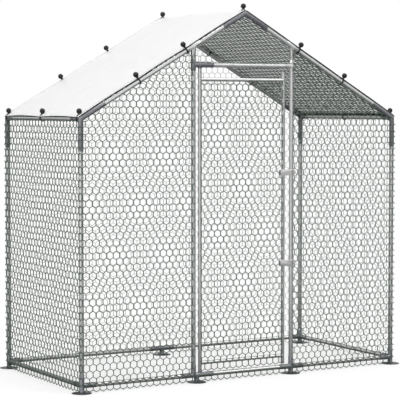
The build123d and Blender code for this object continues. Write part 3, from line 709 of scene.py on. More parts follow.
def settled(source, name):
    """Plain mesh of an object with its modifiers, after which the object and its own mesh are gone."""
    graph, first = bpy.context.evaluated_depsgraph_get(), source.data
    mesh = bpy.data.meshes.new_from_object(
        source.evaluated_get(graph), preserve_all_data_layers=True, depsgraph=graph)
    source.modifiers.clear()
    bpy.data.objects.remove(source)
    bpy.data.meshes.remove(first)
    if not mesh.polygons:
        raise RuntimeError("nothing was made for " + name)
    mesh.name = name
    return mesh


def painted_only(mesh, *materials):
    """Gives a mesh these materials alone, with all its faces in the first."""
    mesh.materials.clear()
    for material in materials:
        mesh.materials.append(material)
    mesh.polygons.foreach_set("material_index", [0] * len(mesh.polygons))
    return mesh


def repaint(mesh, material, low, high):
    """Gives the faces between two widths of the coop another finish: painted light on one lintel tee, painted
    shade on the straps' knuckles.
    """
    mesh.materials.append(material)
    for face in mesh.polygons:
        if low < face.center.x < high:
            face.material_index = 1


def grow(name, seed_mesh, tree, values):
    """Plain mesh that a geometry tree makes from a seed mesh."""
    seed = put(name + "_seed", seed_mesh)
    modifier = modify(seed, "NODES", node_group=tree)
    for item in tree.interface.items_tree:
        if item.in_out == "INPUT" and item.name in values:
            modifier[item.identifier] = values[item.name]
    return painted_only(settled(seed, name), values["Material"])


def stand(name, mesh, body, stands_for=()):
    """Finished piece that rides on a body."""
    piece = put(name, mesh)
    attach(piece, body)
    if stands_for:
        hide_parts(*stands_for)
    return piece


def points_mesh(name, points, edges=(), faces=()):
    """Mesh from lists of points, edges and faces."""
    mesh = bpy.data.meshes.new(name)
    mesh.from_pydata([tuple(point) for point in points], list(edges), list(faces))
    return mesh


def plain_mesh(name, shape):
    """Mesh of a finished editable shape."""
    mesh = bpy.data.meshes.new(name)
    shape.to_mesh(mesh)
    shape.free()
    return mesh


def rounded_copy(node, material, edge):
    """Copy of a solid with its sharp edges rounded and its flats shaded smooth."""
    shell = bmesh.new()
    shell.from_mesh(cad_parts[node].data)
    bmesh.ops.remove_doubles(shell, verts=shell.verts, dist=WELD)
    bmesh.ops.dissolve_limit(
        shell, angle_limit=FLAT_TURN, verts=shell.verts, edges=shell.edges, delimit=set())
    source = put(node + "_copy", painted_only(plain_mesh(node + "_copy", shell), material))
    modify(source, "BEVEL", width=edge, segments=ROUNDING_STEPS, limit_method="ANGLE", angle_limit=ROUND_TURN)
    made = settled(source, node + "_finished")
    made.shade_smooth()
    made.set_sharp_from_angle(angle=SHARP_TURN)
    return made


def turn_into(shape, profile, sides, capped=False):
    """Adds a form turned about Z from radius and height pairs, closed at its poles or by caps."""
    turn = [2 * pi * step / sides for step in range(sides)]
    rings = []
    for radius, height in profile:
        copies = sides if radius < WELD else 1
        ways = turn[:sides // copies]
        rings.append([shape.verts.new((radius * cos(a), radius * sin(a), height)) for a in ways] * copies)
    for low, high in zip(rings, rings[1:]):
        for here in range(sides):
            there = (here + 1) % sides
            shape.faces.new(list(dict.fromkeys((low[here], low[there], high[there], high[here]))))
    if capped:
        shape.faces.new(rings[0][::-1])
        shape.faces.new(rings[-1])


def lathe(name, *forms):
    """Mesh of turned forms, each a profile, its number of sides and whether it has caps."""
    shape = bmesh.new()
    for form in forms:
        turn_into(shape, *form)
    bmesh.ops.recalc_face_normals(shape, faces=shape.faces)
    return plain_mesh(name, shape)


def set_copies(name, shape_mesh, places, material):
    """Mesh with a copy of a shape at each place, which is a point, an up and an across."""
    seed = points_mesh(name + "_places", [place[0] for place in places])
    for label, index in (("up", 1), ("across", 2)):
        layer = seed.attributes.new(label, "FLOAT_VECTOR", "POINT")
        layer.data.foreach_set("vector", [part for place in places for part in place[index]])
    shape = bpy.data.objects.new(name + "_shape", shape_mesh)
    mesh = grow(name, seed, shared("Set copies", copies_tree), {"Shape": shape, "Material": material})
    bpy.data.objects.remove(shape)
    bpy.data.meshes.remove(shape_mesh)
    return mesh


def drawn_wires(name, paths, diameter, sides, material):
    """Mesh of round wires along paths, each a list of points and whether it closes."""
    points, edges = [], []
    for path, closed in paths:
        first = len(points)
        points.extend(path)
        edges.extend((first + step, first + step + 1) for step in range(len(path) - 1))
        if closed:
            edges.append((first + len(path) - 1, first))
    return grow(name, points_mesh(name, points, edges), shared("Drawn wire", wire_tree), {
        "Diameter": diameter, "Sides": sides, "Material": material})


# Nets

def panel_matrix(across, up, origin):
    """Places a flat panel in the coop."""
    return Matrix.Translation(origin) @ Matrix((across, up, across.cross(up))).transposed().to_4x4()


def ground_line(low, high, feet):
    """Lower edge of a wall's net from high to low: near the ground, and raised over each foot plate."""
    line = []
    for foot in sorted(feet, reverse=True):
        far, near = min(high, foot + FOOT_REACH), max(low, foot - FOOT_REACH)
        if far < high:
            line.append((far, NET_GROUND))
        line += [(far, NET_BOTTOM), (near, NET_BOTTOM)]
        if near > low:
            line.append((near, NET_GROUND))
    return line


def under_rafter(x):
    """Height of a net's upper edge under the slopes."""
    return APEX_HEIGHT - abs(x) * tan(SLOPE) - NET_OVERLAP / cos(SLOPE)


def upright_net(tops, feet=(), foot=None):
    """Outline of an upright net from its upper edge down to the ground line or to one height."""
    low, high = tops[0][0], tops[-1][0]
    return tops + (ground_line(low, high, feet) if feet else [(high, foot), (low, foot)])


def gable_net(node, peak=(), **lower):
    """Outline of a front or back net under the slopes."""
    low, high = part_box(node)
    return upright_net([(x, under_rafter(x)) for x in (low.x, *peak, high.x)], **lower)


def level_net(low, high, top, **lower):
    """Outline of a net with a level top."""
    return upright_net([(low, top), (high, top)], **lower)


def net_panels(sink):
    """Each net's panels: where a panel lies, its outline and the height of its lowest wires."""
    front = panel_matrix(X, Z, Y * (middle("front_left_net").y + sink))
    back = panel_matrix(X, Z, Y * (middle("back_net").y - sink))
    door = panel_matrix(X, Z, Y * (middle("door_net").y + sink * DOOR_SINK))
    low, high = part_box("door_net")
    left = gable_net("front_left_net", feet=(-HALF_WIDTH, JAMB_X[LEFT]))
    right = gable_net("front_right_net", feet=(JAMB_X[RIGHT], HALF_WIDTH))
    gable = gable_net("front_gable_net", (0.0,), foot=LINTEL_HEIGHT + TUBE_RADIUS)
    whole = gable_net("back_net", (0.0,), feet=(-HALF_WIDTH, 0, HALF_WIDTH))
    sill = level_net(left[1][0], right[0][0], BASE_HEIGHT, feet=JAMB_X.values())
    panels = {
        "front_left_net": [(front, left, NET_GROUND)], "front_right_net": [(front, right, NET_GROUND)],
        "front_gable_net": [(front, gable, NET_GROUND)], "back_net": [(back, whole, NET_GROUND)],
        "door_net": [(door, level_net(low.x, high.x, DOOR_NET_TOP, foot=low.z), low.z)],
        "sill_net": [(front, sill, NET_GROUND)], "roof_nets": [],
    }
    edge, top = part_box("roof_nets")[1].y, SLOPE_LENGTH - RIDGE_GAP
    for side, node in ((LEFT, "left_net"), (RIGHT, "right_net")):
        low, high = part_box(node)
        wall = panel_matrix(Y, Z, X * (middle(node).x - side * sink))
        outline = level_net(low.y, high.y, EAVE_HEIGHT - NET_OVERLAP, feet=(-HALF_DEPTH, HALF_DEPTH))
        panels[node] = [(wall, outline, NET_GROUND)]
        lift = roof_normal(side) * (NET_LIFT - sink * ROOF_SINK)
        slope = panel_matrix(Y, up_slope(side), eave_point(side, 0) + lift)
        panels["roof_nets"].append((slope, [(-edge, 0), (-edge, top), (edge, top), (edge, 0)], 0.0))
    return panels


def net_mesh(name, panel, settings, wire, material):
    """Hexagon netting of one panel."""
    matrix, outline, bottom = panel
    width = settings.gap_width
    row = width * sqrt(3) / 2
    lows, highs = ([pick(values) for values in zip(*outline)] for pick in (min, max))
    start = bottom + width / sqrt(3) + ROW_LIFT
    first = Vector((
        width * (floor(lows[0] / width) - 2),
        start + 2 * row * (floor((lows[1] - start) / (2 * row)) - 1), 0))
    seed = points_mesh(name, [(*corner, 0) for corner in outline], faces=[range(len(outline))])
    mesh = grow(name, seed, shared("Hexagon net", net_tree), {
        "Gap width": width, "First gap": first, "Columns": ceil((highs[0] - first.x) / width) + 3,
        "Rows": ceil((highs[1] - first.y) / row) + 3, "Wire": wire, "Twist width": TWIST_WIDTH * wire,
        "Twist depth": TWIST_DEPTH * wire, "Twist turns": settings.twist_turns, "Waviness": settings.waviness,
        "Material": material})
    mesh.transform(matrix)
    return mesh


def joined(name, meshes):
    """Several meshes of one material as one."""
    whole = bmesh.new()
    material = meshes[0].materials[0]
    for mesh in meshes:
        whole.from_mesh(mesh)
        bpy.data.meshes.remove(mesh)
    return painted_only(plain_mesh(name, whole), material)


# Bungees

def rafter_ties(side, end, settings):
    """Distances of the two bungees of a rafter from the eave."""
    gap = settings.front_gap if end == FRONT else settings.back_gap
    upper = (HALF_WIDTH - abs(JAMB_X[side])) / cos(SLOPE) - gap
    return upper * settings.lower_share, upper


def bungee_places(settings):
    """Each bungee as the tube's centre, the ways to the ball and along the tube, and the tube's size."""
    places = []
    inset = HALF_DEPTH - SLEEVE_RADIUS - BALL_INSET
    for end in ENDS:
        places.append((Vector((0, end * inset, APEX_HEIGHT)), Z, Y, SLEEVE_RADIUS))
        for side in SIDES:
            places.append((eave_point(side, end * inset), Z, Y, SLEEVE_RADIUS))
            for along in rafter_ties(side, end, settings):
                centre = eave_point(side, end * HALF_DEPTH) + up_slope(side) * along
                places.append((centre, roof_normal(side), up_slope(side), TUBE_RADIUS))
    return places + [(eave_point(side, 0), Z, Y, TUBE_RADIUS) for side in SIDES]


def loop_radius(size, settings):
    """Radius of a loop's middle line round a tube, and how far its legs lean."""
    radius = size + CORD_ROOM + settings.cord / 2
    return radius, asin(radius / settings.lift)


def loop_path(centre, up, along, size, settings):
    """Middle line of an elastic loop, from under the ball round the tube and back."""
    radius, lean = loop_radius(size, settings)
    across = up.cross(along)
    foot = settings.lift - settings.ball / 2 - LEG_DROP
    half = [(LEG_GAP, foot), ((settings.lift - foot + LEG_SPREAD) * tan(lean) * LEG_LEAN, foot - LEG_SPREAD)]
    for step in range(LOOP_STEPS + 1):
        way = lean - (lean + pi / 2) * step / LOOP_STEPS
        half.append((radius * cos(way), radius * sin(way)))
    whole = half + [(-a, b) for a, b in half[-2::-1]]
    return [centre + across * a + up * b for a, b in whole]


def ball_profile(settings):
    """Radius and height pairs of a ball with its neck, the neck down."""
    radius = settings.ball / 2
    neck = radius * NECK
    points = [(0.0, -radius - NECK_END), (neck * NECK_FACE, -radius - NECK_END), (neck, -radius - NECK_RIM)]
    start = asin(neck / radius)
    seam = len(points) + BALL_STEPS // 2 - 1
    for step in range(BALL_STEPS + 1):
        way = start + (pi - start) * step / BALL_STEPS
        points.append((radius * sin(way), -radius * cos(way)))
    points[-1] = (0.0, radius)
    points[seam] = (points[seam][0] * SEAM, points[seam][1])
    return points


# Roof sheet

def tie_marks(settings):
    """Places along each gable edge and along an eave where bungees hold the sheet."""
    marks = {end: sorted([-SHEET_REACH, 0.0, SHEET_REACH] + [
        side * (RIDGE_ALONG - along) for side in SIDES for along in rafter_ties(side, end, settings)])
        for end in ENDS}
    return marks, [-SHEET_EDGE, 0.0, SHEET_EDGE]


def between(marks, value):
    """How far a value is from the two marks beside it: 0 at a mark, 1 half way."""
    for low, high in zip(marks, marks[1:]):
        if low <= value <= high:
            return sin(pi * (value - low) / (high - low))
    return 0.0


def sheet_surface(sheet, bungee):
    """Function that gives a point of the stretched sheet from its flat place and a lift."""
    reach, half = SHEET_REACH, SHEET_EDGE
    gable_marks, eave_marks = tie_marks(bungee)
    top = APEX_HEIGHT + SHEET_LIFT / cos(SLOPE)

    def surface(s, t, lift):
        gable, eave = between(gable_marks[FRONT if t < 0 else BACK], s), between(eave_marks, t)
        s_in = s * (1 - sheet.scallop * eave * abs(s) / reach / reach)
        t_in = t * (1 - sheet.scallop * gable * abs(t) / half / half)
        rise = sheet.ripple * gable ** 2 * exp((abs(t) - half) / RIPPLE_REACH)
        rise += sheet.ripple * eave ** 2 * exp((abs(s) - reach) / RIPPLE_REACH)
        waves = sin(SWELL_S[0] * s + SWELL_S[1]) * sin(SWELL_T[0] * t + SWELL_T[1])
        rise += sheet.swell * (0.5 + 0.5 * waves)
        over = abs(s_in) - RIDGE_ALONG
        if over > 0:
            side = LEFT if s < 0 else RIGHT
            out = roof_normal(side) * cos(over / SHEET_LIFT) - up_slope(side) * sin(over / SHEET_LIFT)
            return eave_point(side, t_in) + out * (SHEET_LIFT + lift + rise)
        x = s_in * cos(SLOPE)
        bend = hypot(x, sheet.ridge_rounding)
        normal = Vector((x / bend * tan(SLOPE), 0, 1)).normalized()
        return Vector((x, t_in, top - bend * tan(SLOPE))) + normal * (lift + rise)

    return surface


def steps_between(low, high, step):
    """Even steps from low to high."""
    count = max(1, round((high - low) / step))
    return [low + (high - low) * i / count for i in range(count + 1)]


def sheet_grid(surface, s_values, t_values, lift, border):
    """Grid of the sheet between lists of flat places, with those places as its map; or only its border."""
    shape = bmesh.new()
    layer = shape.loops.layers.uv.new("flat")
    rows = [[shape.verts.new(surface(s, t, lift)) for t in t_values] for s in s_values]
    last_i, last_j = len(s_values) - 2, len(t_values) - 2
    for i in range(last_i + 1):
        for j in range(last_j + 1):
            if border and i not in (0, last_i) and j not in (0, last_j):
                continue
            flat = ((i, j), (i + 1, j), (i + 1, j + 1), (i, j + 1))
            face = shape.faces.new([rows[a][b] for a, b in flat])
            face.smooth = True
            for loop, (a, b) in zip(face.loops, flat):
                loop[layer].uv = (s_values[a], t_values[b])
    loose = [vert for vert in shape.verts if not vert.link_faces]
    bmesh.ops.delete(shape, geom=loose, context="VERTS")
    return shape


def edge_bead(surface, s_values, t_values, size):
    """Closed path of the piping along the sheet's edge, a little off the sheet's middle; the piping's black
    is painted shade.
    """
    low_s, high_s, low_t, high_t = s_values[0], s_values[-1], t_values[0], t_values[-1]
    path = [(s, low_t) for s in s_values] + [(high_s, t) for t in t_values[1:]]
    path += [(s, high_t) for s in s_values[-2::-1]] + [(low_s, t) for t in t_values[-2:0:-1]]
    shares = [max(-1.0, min(1.0, s / PIPING_TURN)) if t == high_t else -1.0 for s, t in path]
    return [surface(s, t, size * (PIPING_LIFT * share)) for (s, t), share in zip(path, shares)]


def sheet_mesh(name, shape, thickness, materials, holes):
    """Sheet of a grid with a thickness, and a hole for each eyelet."""
    source = put(name + "_flat", painted_only(plain_mesh(name + "_flat", shape), *materials))
    modify(source, "SOLIDIFY", thickness=thickness, offset=0, material_offset=len(materials) - 1)
    modify(source, "BOOLEAN", operation="DIFFERENCE", solver="EXACT", object=holes)
    return settled(source, name)


def eyelet_places(bungee):
    """Flat places on the sheet where a leg of a loop goes through it."""
    places = []
    for centre, up, along, size in bungee_places(bungee):
        lean = loop_radius(size, bungee)[1]
        ball = centre + up * bungee.lift
        for leg in SIDES:
            down = up.cross(along) * leg * sin(lean) - up * cos(lean)
            side = LEFT if (centre + down * LEG_STEP).x < 0 else RIGHT
            normal = roof_normal(side)
            plane = eave_point(side, 0) + normal * SHEET_LIFT
            through = ball + down * ((plane - ball).dot(normal) / down.dot(normal))
            distance = (through - plane).dot(up_slope(side))
            if abs(through.y) < SHEET_EDGE - EYELET_EDGE and distance > EYELET_EAVE:
                places.append((side * (RIDGE_ALONG - distance), through.y))
    return places


def eyelet_frames(places, surface, lift):
    """Eyelet places as points, ups and acrosses on the sheet."""
    frames = []
    for s, t in places:
        across = (surface(s + EYELET_SPAN, t, lift) - surface(s - EYELET_SPAN, t, lift)).normalized()
        frames.append((surface(s, t, lift), across.cross(Y), across))
    return frames


def eyelet_profile(fixing):
    """Radius and height pairs of an eyelet's pressed rim, closed on itself."""
    hole, rim = fixing.eyelet_hole / 2, fixing.eyelet_rim / 2
    return [(hole * (1 - share) + rim * share + step, height) for share, step, height in EYELET_FORM]


# Fixings

def screw_shape(fixing):
    """Hexagon head on a round flange, its seat at height zero."""
    half = fixing.screw_head / 2
    flange, head = ([(half * share, height) for share, height in form] for form in (FLANGE, HEXAGON))
    return lathe("screw", (flange, FLANGE_SIDES, True), (head, HEXAGON_SIDES, True))


def screw_places():
    """Screw seats on the inner sides of the sleeves: point, way out, tube direction."""
    seats = []
    for side in SIDES:
        for end in ENDS:
            corner = Vector((side * HALF_WIDTH, end * HALF_DEPTH, 0))
            base, eave = corner + Z * BASE_HEIGHT, corner + Z * EAVE_HEIGHT
            apex = Vector((0, end * HALF_DEPTH, APEX_HEIGHT))
            inward = Vector((-side, -end, 0)).normalized()
            seats += [
                (base + Z * POST_SCREW, inward, Z), (eave - Z * EAVE_SCREW, inward, Z),
                (base - X * side * RAIL_SCREW, (Z - Y * end).normalized(), X),
                (base - Y * end * RAIL_SCREW, (Z - X * side).normalized(), Y),
                (eave + up_slope(side) * SLOPE_SCREW, -Y * end, up_slope(side)),
                (eave - Y * end * BAR_SCREW, -X * side, Y),
                (apex - up_slope(side) * SLOPE_SCREW, -Y * end, up_slope(side)),
            ]
    for end in ENDS:
        seats.append((Vector((0, end * HALF_DEPTH, APEX_HEIGHT)) - Y * end * BAR_SCREW, -Z, Y))
    for side in SIDES:
        jamb = Vector((JAMB_X[side], -HALF_DEPTH, 0))
        for height in (BASE_HEIGHT + POST_SCREW, LINTEL_HEIGHT - JAMB_SCREW, LINTEL_HEIGHT + JAMB_SCREW):
            seats.append((jamb + Z * height, Y, Z))
    return [(centre + out * (SLEEVE_RADIUS - SCREW_SEAT), out, along) for centre, out, along in seats]


def tie_places():
    """Ties of the netting: tube centre, tube direction, way to the net, and the ring's shift and radius."""
    ties = []
    for side in SIDES:
        for end in ENDS:
            corner = Vector((side * HALF_WIDTH, end * HALF_DEPTH, 0))
            out = Vector((side, end, 0)).normalized()
            ties += [(corner + Z * height, Z, out, TWO_NETS) for height in POST_TIES]
        for share in SIDE_TIES:
            y = HALF_DEPTH * (2 * share - 1)
            ties.append((Vector((side * HALF_WIDTH, y, BASE_HEIGHT)), Y, X * side, ONE_NET))
    for height in JAMB_TIES:
        ties += [(Vector((JAMB_X[side], -HALF_DEPTH, height)), Z, -Y, ONE_NET) for side in (RIGHT, LEFT)]
    for end, places in RAIL_TIES.items():
        ties += [(Vector((x, end * HALF_DEPTH, BASE_HEIGHT)), X, Y * end, ONE_NET) for x in places]
    return ties


def tie_ring(centre, along, out, fit):
    """Closed ring of tie wire round a tube and the net outside it."""
    shift, radius = fit
    side = along.cross(out)
    turn = [2 * pi * step / TIE_STEPS for step in range(TIE_STEPS)]
    return [centre + out * (shift + radius * cos(a)) + side * (radius * sin(a)) for a in turn]


def tie_tail(centre, along, out):
    """Twisted ends of a tie, bent against the tube on its inner side."""
    side, start = along.cross(out), centre - out * TAIL_START
    return [start - out * inward + side * aside + along * on for inward, aside, on in TAIL]


# Stage

def shown_rays(tree):
    """Masks of the rays that see the plain background, from the camera or by gloss or glass, and of gloss."""
    path = tree.nodes.new("ShaderNodeLightPath").outputs
    mirrored = sum_of(tree, "MAXIMUM", path["Is Glossy Ray"], path["Is Transmission Ray"])
    return sum_of(tree, "MAXIMUM", path["Is Camera Ray"], mirrored), path["Is Glossy Ray"]


def card(tree, from_turn, turn, height, wide, narrow, depth):
    """A round card's share in a direction of the world."""
    aim, tilt = from_turn + radians(turn), radians(height)
    direction = tree.nodes.new("ShaderNodeTexCoord").outputs["Generated"]
    centre = (sin(aim) * cos(tilt), -cos(aim) * cos(tilt), sin(tilt))
    return add(tree, "ShaderNodeMapRange", {
        "Value": vector_of(tree, "DOT_PRODUCT", direction, centre).outputs["Value"],
        "From Min": cos(radians(wide)), "From Max": cos(radians(narrow)), "To Max": depth})


def studio_world(settings):
    """White background with dark cards in its gloss, and an even soft light for everything else."""
    world = bpy.data.worlds.new("studio")
    world.use_nodes = True
    tree = world.node_tree
    tree.nodes.clear()
    shown, glossy = shown_rays(tree)
    dark = 0.0
    for shape in CARDS:
        dark = sum_of(tree, "MAXIMUM", card(tree, settings.camera_turn, *shape), dark)
    bright = sum_of(tree, "MULTIPLY", card(tree, settings.camera_turn, *BRIGHT_CARD), glossy)
    walls = blended(tree, sum_of(tree, "MULTIPLY", dark, glossy), WHITE, CARD_BLACK)
    white = add(tree, "ShaderNodeBackground", {"Color": walls, "Strength": sum_of(tree, "ADD", bright, 1.0)})
    soft = add(tree, "ShaderNodeBackground", {"Color": WHITE, "Strength": settings.ambient})
    mixed = add(tree, "ShaderNodeMixShader", {0: shown, 1: soft, 2: white})
    add(tree, "ShaderNodeOutputWorld", {"Surface": mixed})
    return world


def glow(tree, shade, strength):
    """Light of its own."""
    return add(tree, "ShaderNodeEmission", {"Color": shade, "Strength": strength})


def floor_material(settings):
    """White studio floor that keeps the object's shadow."""
    material, tree, shader = blank_material("studio_floor", {
        "Roughness": FLOOR_ROUGHNESS, "Specular IOR Level": 0.0, "Base Color": solid_colour(settings.floor)})
    shown, glossy = shown_rays(tree)
    lift = sum_of(tree, "MULTIPLY", sum_of(tree, "SUBTRACT", shown, glossy), settings.floor_glow)
    dimmed = sum_of(tree, "MULTIPLY", glossy, FLOOR_IN_GLOSS)
    matt = add(tree, "ShaderNodeMixShader", {0: dimmed, 1: shader, 2: glow(tree, BLACK, 0.0)})
    lit = add(tree, "ShaderNodeAddShader", {0: matt, 1: glow(tree, WHITE, lift)})
    place = tree.nodes.new("ShaderNodeTexCoord").outputs["Object"]
    distance = vector_of(tree, "LENGTH", place).outputs["Value"]
    far = add(tree, "ShaderNodeMapRange", {
        "Value": sum_of(tree, "MULTIPLY", distance, sum_of(tree, "SUBTRACT", 1.0, dimmed)),
        "From Min": FLOOR_NEAR, "From Max": FLOOR_FAR}, interpolation_type="SMOOTHSTEP")
    mixed = add(tree, "ShaderNodeMixShader", {
        0: sum_of(tree, "MULTIPLY", far, shown), 1: lit, 2: glow(tree, WHITE, 1.0)})
    feed(tree, tree.nodes["Material Output"].inputs, {"Surface": mixed})
    return material


def lamp(name, place, aim, size, power, in_gloss):
    """Soft square lamp turned to a point, which gloss may or may not show."""
    made = put(name, bpy.data.lights.new(name, "AREA"))
    made.data.size = size
    made.data.energy = power
    made.location = place
    made.rotation_euler = (Vector(aim) - Vector(place)).to_track_quat("-Z", "Y").to_euler()
    made.visible_glossy = in_gloss


# Operators

class COOP_OT_set_stage(bpy.types.Operator):
    """Set the floor, lamps, background and camera"""

    bl_idname = "coop.set_stage"
    bl_label = "Set stage"

    def execute(self, context):
        scene = context.scene
        settings = scene.coop_stage
        rings = [(radius, FLOOR_HEIGHT) for radius in FLOOR_RADII]
        floor = put("studio_floor", lathe("floor", (rings, FLOOR_SIDES)))
        floor.data.materials.append(floor_material(settings))
        scene.world = studio_world(settings)
        for name, values in LAMPS.items():
            lamp(name, *values)
        camera = put("camera", bpy.data.cameras.new("camera"))
        camera.location = settings.camera_place
        camera.rotation_euler = (pi / 2 - settings.camera_dip, 0, settings.camera_turn)
        camera.data.lens = settings.lens
        camera.data.sensor_width = SENSOR_WIDTH
        camera.data.clip_end = SIGHT_END
        scene.camera = camera
        scene.view_settings.view_transform = "Standard"
        return {"FINISHED"}


class COOP_OT_dress_tubes(bpy.types.Operator):
    """Give every tube of the frame and door its galvanised finish"""

    bl_idname = "coop.dress_tubes"
    bl_label = "Dress tubes"

    def execute(self, context):
        for node in TUBES:
            # Base rails and sill take the darker zinc: painted shade near the floor
            finish = "coop_ground_zinc_painted_shade" if node.endswith(GROUND_TUBES) else "coop_tube_zinc"
            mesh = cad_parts[node].data
            mesh.materials.clear()
            mesh.materials.append(metal(finish, context.scene.coop_metal))
        return {"FINISHED"}


class COOP_OT_make_fittings(bpy.types.Operator):
    """Make the frame's fittings and foot plates with rounded edges"""

    bl_idname = "coop.make_fittings"
    bl_label = "Make fittings"

    def execute(self, context):
        settings = context.scene.coop_metal
        coat, zinc = metal("coop_fitting_coat", settings), metal("coop_tube_zinc", settings)
        for node in FITTINGS:
            mesh = rounded_copy(node, zinc if node == "rafter_tees" else coat, settings.edge)
            # The latch-side lintel tee takes the lighter tube zinc: painted light on the side that catches
            # the light
            if node == "lintel_tees":
                repaint(mesh, zinc, 0, HALF_WIDTH)
            stand(node + "_finished", mesh, "frame", [node])
        return {"FINISHED"}


class COOP_OT_make_hasps(bpy.types.Operator):
    """Make the hasp straps, lugs and staples with rounded edges"""

    bl_idname = "coop.make_hasps"
    bl_label = "Make hasps"

    def execute(self, context):
        settings = context.scene.coop_metal
        bright, dark = metal("coop_hasp_plating", settings), metal("coop_fitting_coat", settings)
        for node, body in HASPS.items():
            mesh = rounded_copy(node, dark if node == "hasp_lugs" else bright, settings.edge / 2)
            # Each strap's knuckle end is painted in the dark fitting coat: painted shade at the hinge end
            if node.endswith("strap"):
                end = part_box(node)[0].x
                repaint(mesh, dark, end - KNUCKLE, end + KNUCKLE)
            stand(node + "_finished", mesh, body, [node])
        return {"FINISHED"}


class COOP_OT_make_nets(bpy.types.Operator):
    """Weave the hexagon netting of walls, door and roof"""

    bl_idname = "coop.make_nets"
    bl_label = "Make nets"

    def execute(self, context):
        settings = context.scene.coop_net
        names = ("coop_wire_zinc", "coop_fine_wire_painted_light", "coop_roof_wire_painted_shade")
        strong, bright, dark = (metal(name, settings) for name in names)
        kinds = {
            # The back, right and gable nets take the lighter wire: painted light
            "back_net": (settings.fine_wire, bright), "right_net": (settings.fine_wire, bright),
            # The roof nets' wire is painted darker as the shade under the sheet
            "roof_nets": (settings.roof_wire, dark), "front_gable_net": (settings.gable_wire, bright)}
        for node, panels in net_panels(settings.sink).items():
            kind = kinds.get(node, (settings.wire, strong))
            meshes = [net_mesh(node + "_wires", panel, settings, *kind) for panel in panels]
            mesh = meshes[0] if len(meshes) == 1 else joined(node + "_wires", meshes)
            body = "door" if node == "door_net" else "frame"
            stand(node + "_wires", mesh, body, () if node == "sill_net" else [node])
        return {"FINISHED"}


class COOP_OT_make_roof_sheet(bpy.types.Operator):
    """Stretch the roof sheet over the slopes, with its hem, piping and eyelets"""

    bl_idname = "coop.make_roof_sheet"
    bl_label = "Make roof sheet"

    def execute(self, context):
        scene = context.scene
        sheet, bungee, fixing = scene.coop_sheet, scene.coop_bungee, scene.coop_fixing
        surface = sheet_surface(sheet, bungee)
        reach, half = SHEET_REACH, SHEET_EDGE
        top = sheet_face("coop_sheet_top", sheet.top, TOP_ROUGHNESS, 0.0)
        # The underside's colour carries painted shade under the roof
        underside = sheet_face("coop_sheet_underside_painted_shade", sheet.underside, UNDERSIDE_ROUGHNESS, 1.0)
        places = eyelet_places(bungee)
        hole = fixing.eyelet_hole / 2
        plug = lathe("plug", ([(0, -PUNCH), (hole, -PUNCH), (hole, PUNCH), (0, PUNCH)], EYELET_SIDES))
        punch = set_copies("holes", plug, eyelet_frames(places, surface, 0.0), top)
        holes = bpy.data.objects.new("holes", punch)
        grid = sheet_grid(
            surface, steps_between(-reach, reach, CELL_S), steps_between(-half, half, CELL_T), 0.0, False)
        mesh = sheet_mesh("roof_sheet", grid, sheet.thickness, [top, underside], holes)
        cloth = stand("roof_sheet", mesh, "frame", ["roof_cover"])
        wide = sheet.hem_width
        s_values = [-reach, *steps_between(wide - reach, reach - wide, CELL_S), reach]
        t_values = [-half, *steps_between(wide - half, half - wide, CELL_T), half]
        lift = (sheet.thickness + sheet.hem_thickness) / 2
        grid = sheet_grid(surface, s_values, t_values, lift, True)
        mesh = sheet_mesh("roof_sheet_hem", grid, sheet.hem_thickness, [top], holes)
        hem = stand("roof_sheet_hem", mesh, "frame")
        bead = edge_bead(surface, s_values, t_values, sheet.bead)
        # The piping's black paints the line of shade along the sheet's edge
        black = black_plastic("coop_piping_painted_shade", sheet.piping)
        mesh = drawn_wires("roof_sheet_piping", [(bead, True)], sheet.bead, CORD_SIDES, black)
        piping = stand("roof_sheet_piping", mesh, "frame")
        rim = lathe("rim", (eyelet_profile(fixing), EYELET_SIDES))
        frames = eyelet_frames(places, surface, lift)
        rims = set_copies("roof_eyelets", rim, frames, metal("coop_new_zinc", scene.coop_metal))
        eyelets = stand("roof_eyelets", rims, "frame")
        bpy.data.objects.remove(holes)
        return {"FINISHED"}


class COOP_OT_make_bungees(bpy.types.Operator):
    """Make the balls and elastic loops that hold the roof sheet"""

    bl_idname = "coop.make_bungees"
    bl_label = "Make bungees"

    def execute(self, context):
        settings = context.scene.coop_bungee
        places = bungee_places(settings)
        cord = black_plastic("coop_braid", settings.black)
        plastic = black_plastic("coop_moulding", settings.black)
        paths = [(loop_path(*place, settings), False) for place in places]
        loops = drawn_wires("bungee_loops", paths, settings.cord, CORD_SIDES, cord)
        stand("bungee_loops", loops, "frame", ["bungee_cords"])
        centres = [(centre + up * settings.lift, up, along) for centre, up, along, size in places]
        knob = lathe("knob", (ball_profile(settings), BALL_SIDES))
        balls = set_copies("bungee_knobs", knob, centres, plastic)
        stand("bungee_knobs", balls, "frame", ["bungee_balls"])
        return {"FINISHED"}


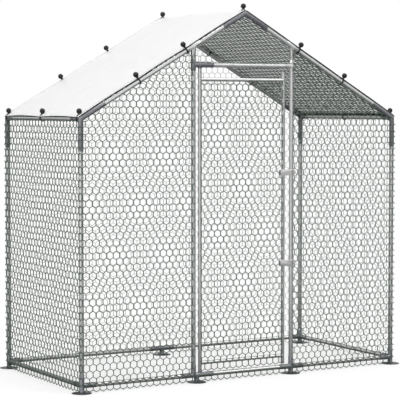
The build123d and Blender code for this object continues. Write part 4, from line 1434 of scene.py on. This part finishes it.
class COOP_OT_make_fixings(bpy.types.Operator):
    """Set the screws of the sleeves and tie the netting to the tubes"""

    bl_idname = "coop.make_fixings"
    bl_label = "Make fixings"

    def execute(self, context):
        fixing = context.scene.coop_fixing
        zinc = metal("coop_new_zinc", context.scene.coop_metal)
        screws = set_copies("sleeve_screws", screw_shape(fixing), screw_places(), zinc)
        stand("sleeve_screws", screws, "frame")
        rings = [(tie_ring(*tie), True) for tie in tie_places()]
        tails = [(tie_tail(*tie[:3]), False) for tie in tie_places()]
        wires = drawn_wires("net_ties", rings + tails, fixing.tie_wire, WIRE_SIDES, zinc)
        stand("net_ties", wires, "frame")
        return {"FINISHED"}


OPERATORS = (
    COOP_OT_set_stage, COOP_OT_dress_tubes, COOP_OT_make_fittings, COOP_OT_make_hasps, COOP_OT_make_nets,
    COOP_OT_make_roof_sheet, COOP_OT_make_bungees, COOP_OT_make_fixings,
)


class COOP_PT_pieces(bpy.types.Panel):
    """Lists the coop's pieces and their settings"""

    bl_idname = "COOP_PT_pieces"
    bl_label = "Coop"
    bl_space_type = "VIEW_3D"
    bl_region_type = "UI"
    bl_category = "Coop"

    def draw(self, context):
        layout = self.layout
        for operator in OPERATORS:
            layout.operator(operator.bl_idname)
        for name, group in SETTINGS.items():
            box = layout.box()
            box.label(text=group.__doc__)
            for setting in group.__annotations__:
                box.prop(getattr(context.scene, name), setting)


CLASSES = (*SETTINGS.values(), *OPERATORS, COOP_PT_pieces)


def register():
    for each in CLASSES:
        bpy.utils.register_class(each)
    for name, group in SETTINGS.items():
        setattr(bpy.types.Scene, name, PointerProperty(type=group))


def unregister():
    for name in SETTINGS:
        delattr(bpy.types.Scene, name)
    for each in reversed(CLASSES):
        bpy.utils.unregister_class(each)


def main():
    """Makes every piece in order."""
    register()
    bpy.ops.coop.set_stage()
    bpy.ops.coop.dress_tubes()
    bpy.ops.coop.make_fittings()
    bpy.ops.coop.make_hasps()
    bpy.ops.coop.make_nets()
    bpy.ops.coop.make_roof_sheet()
    bpy.ops.coop.make_bungees()
    bpy.ops.coop.make_fixings()


if __name__ == "__main__":
    main()
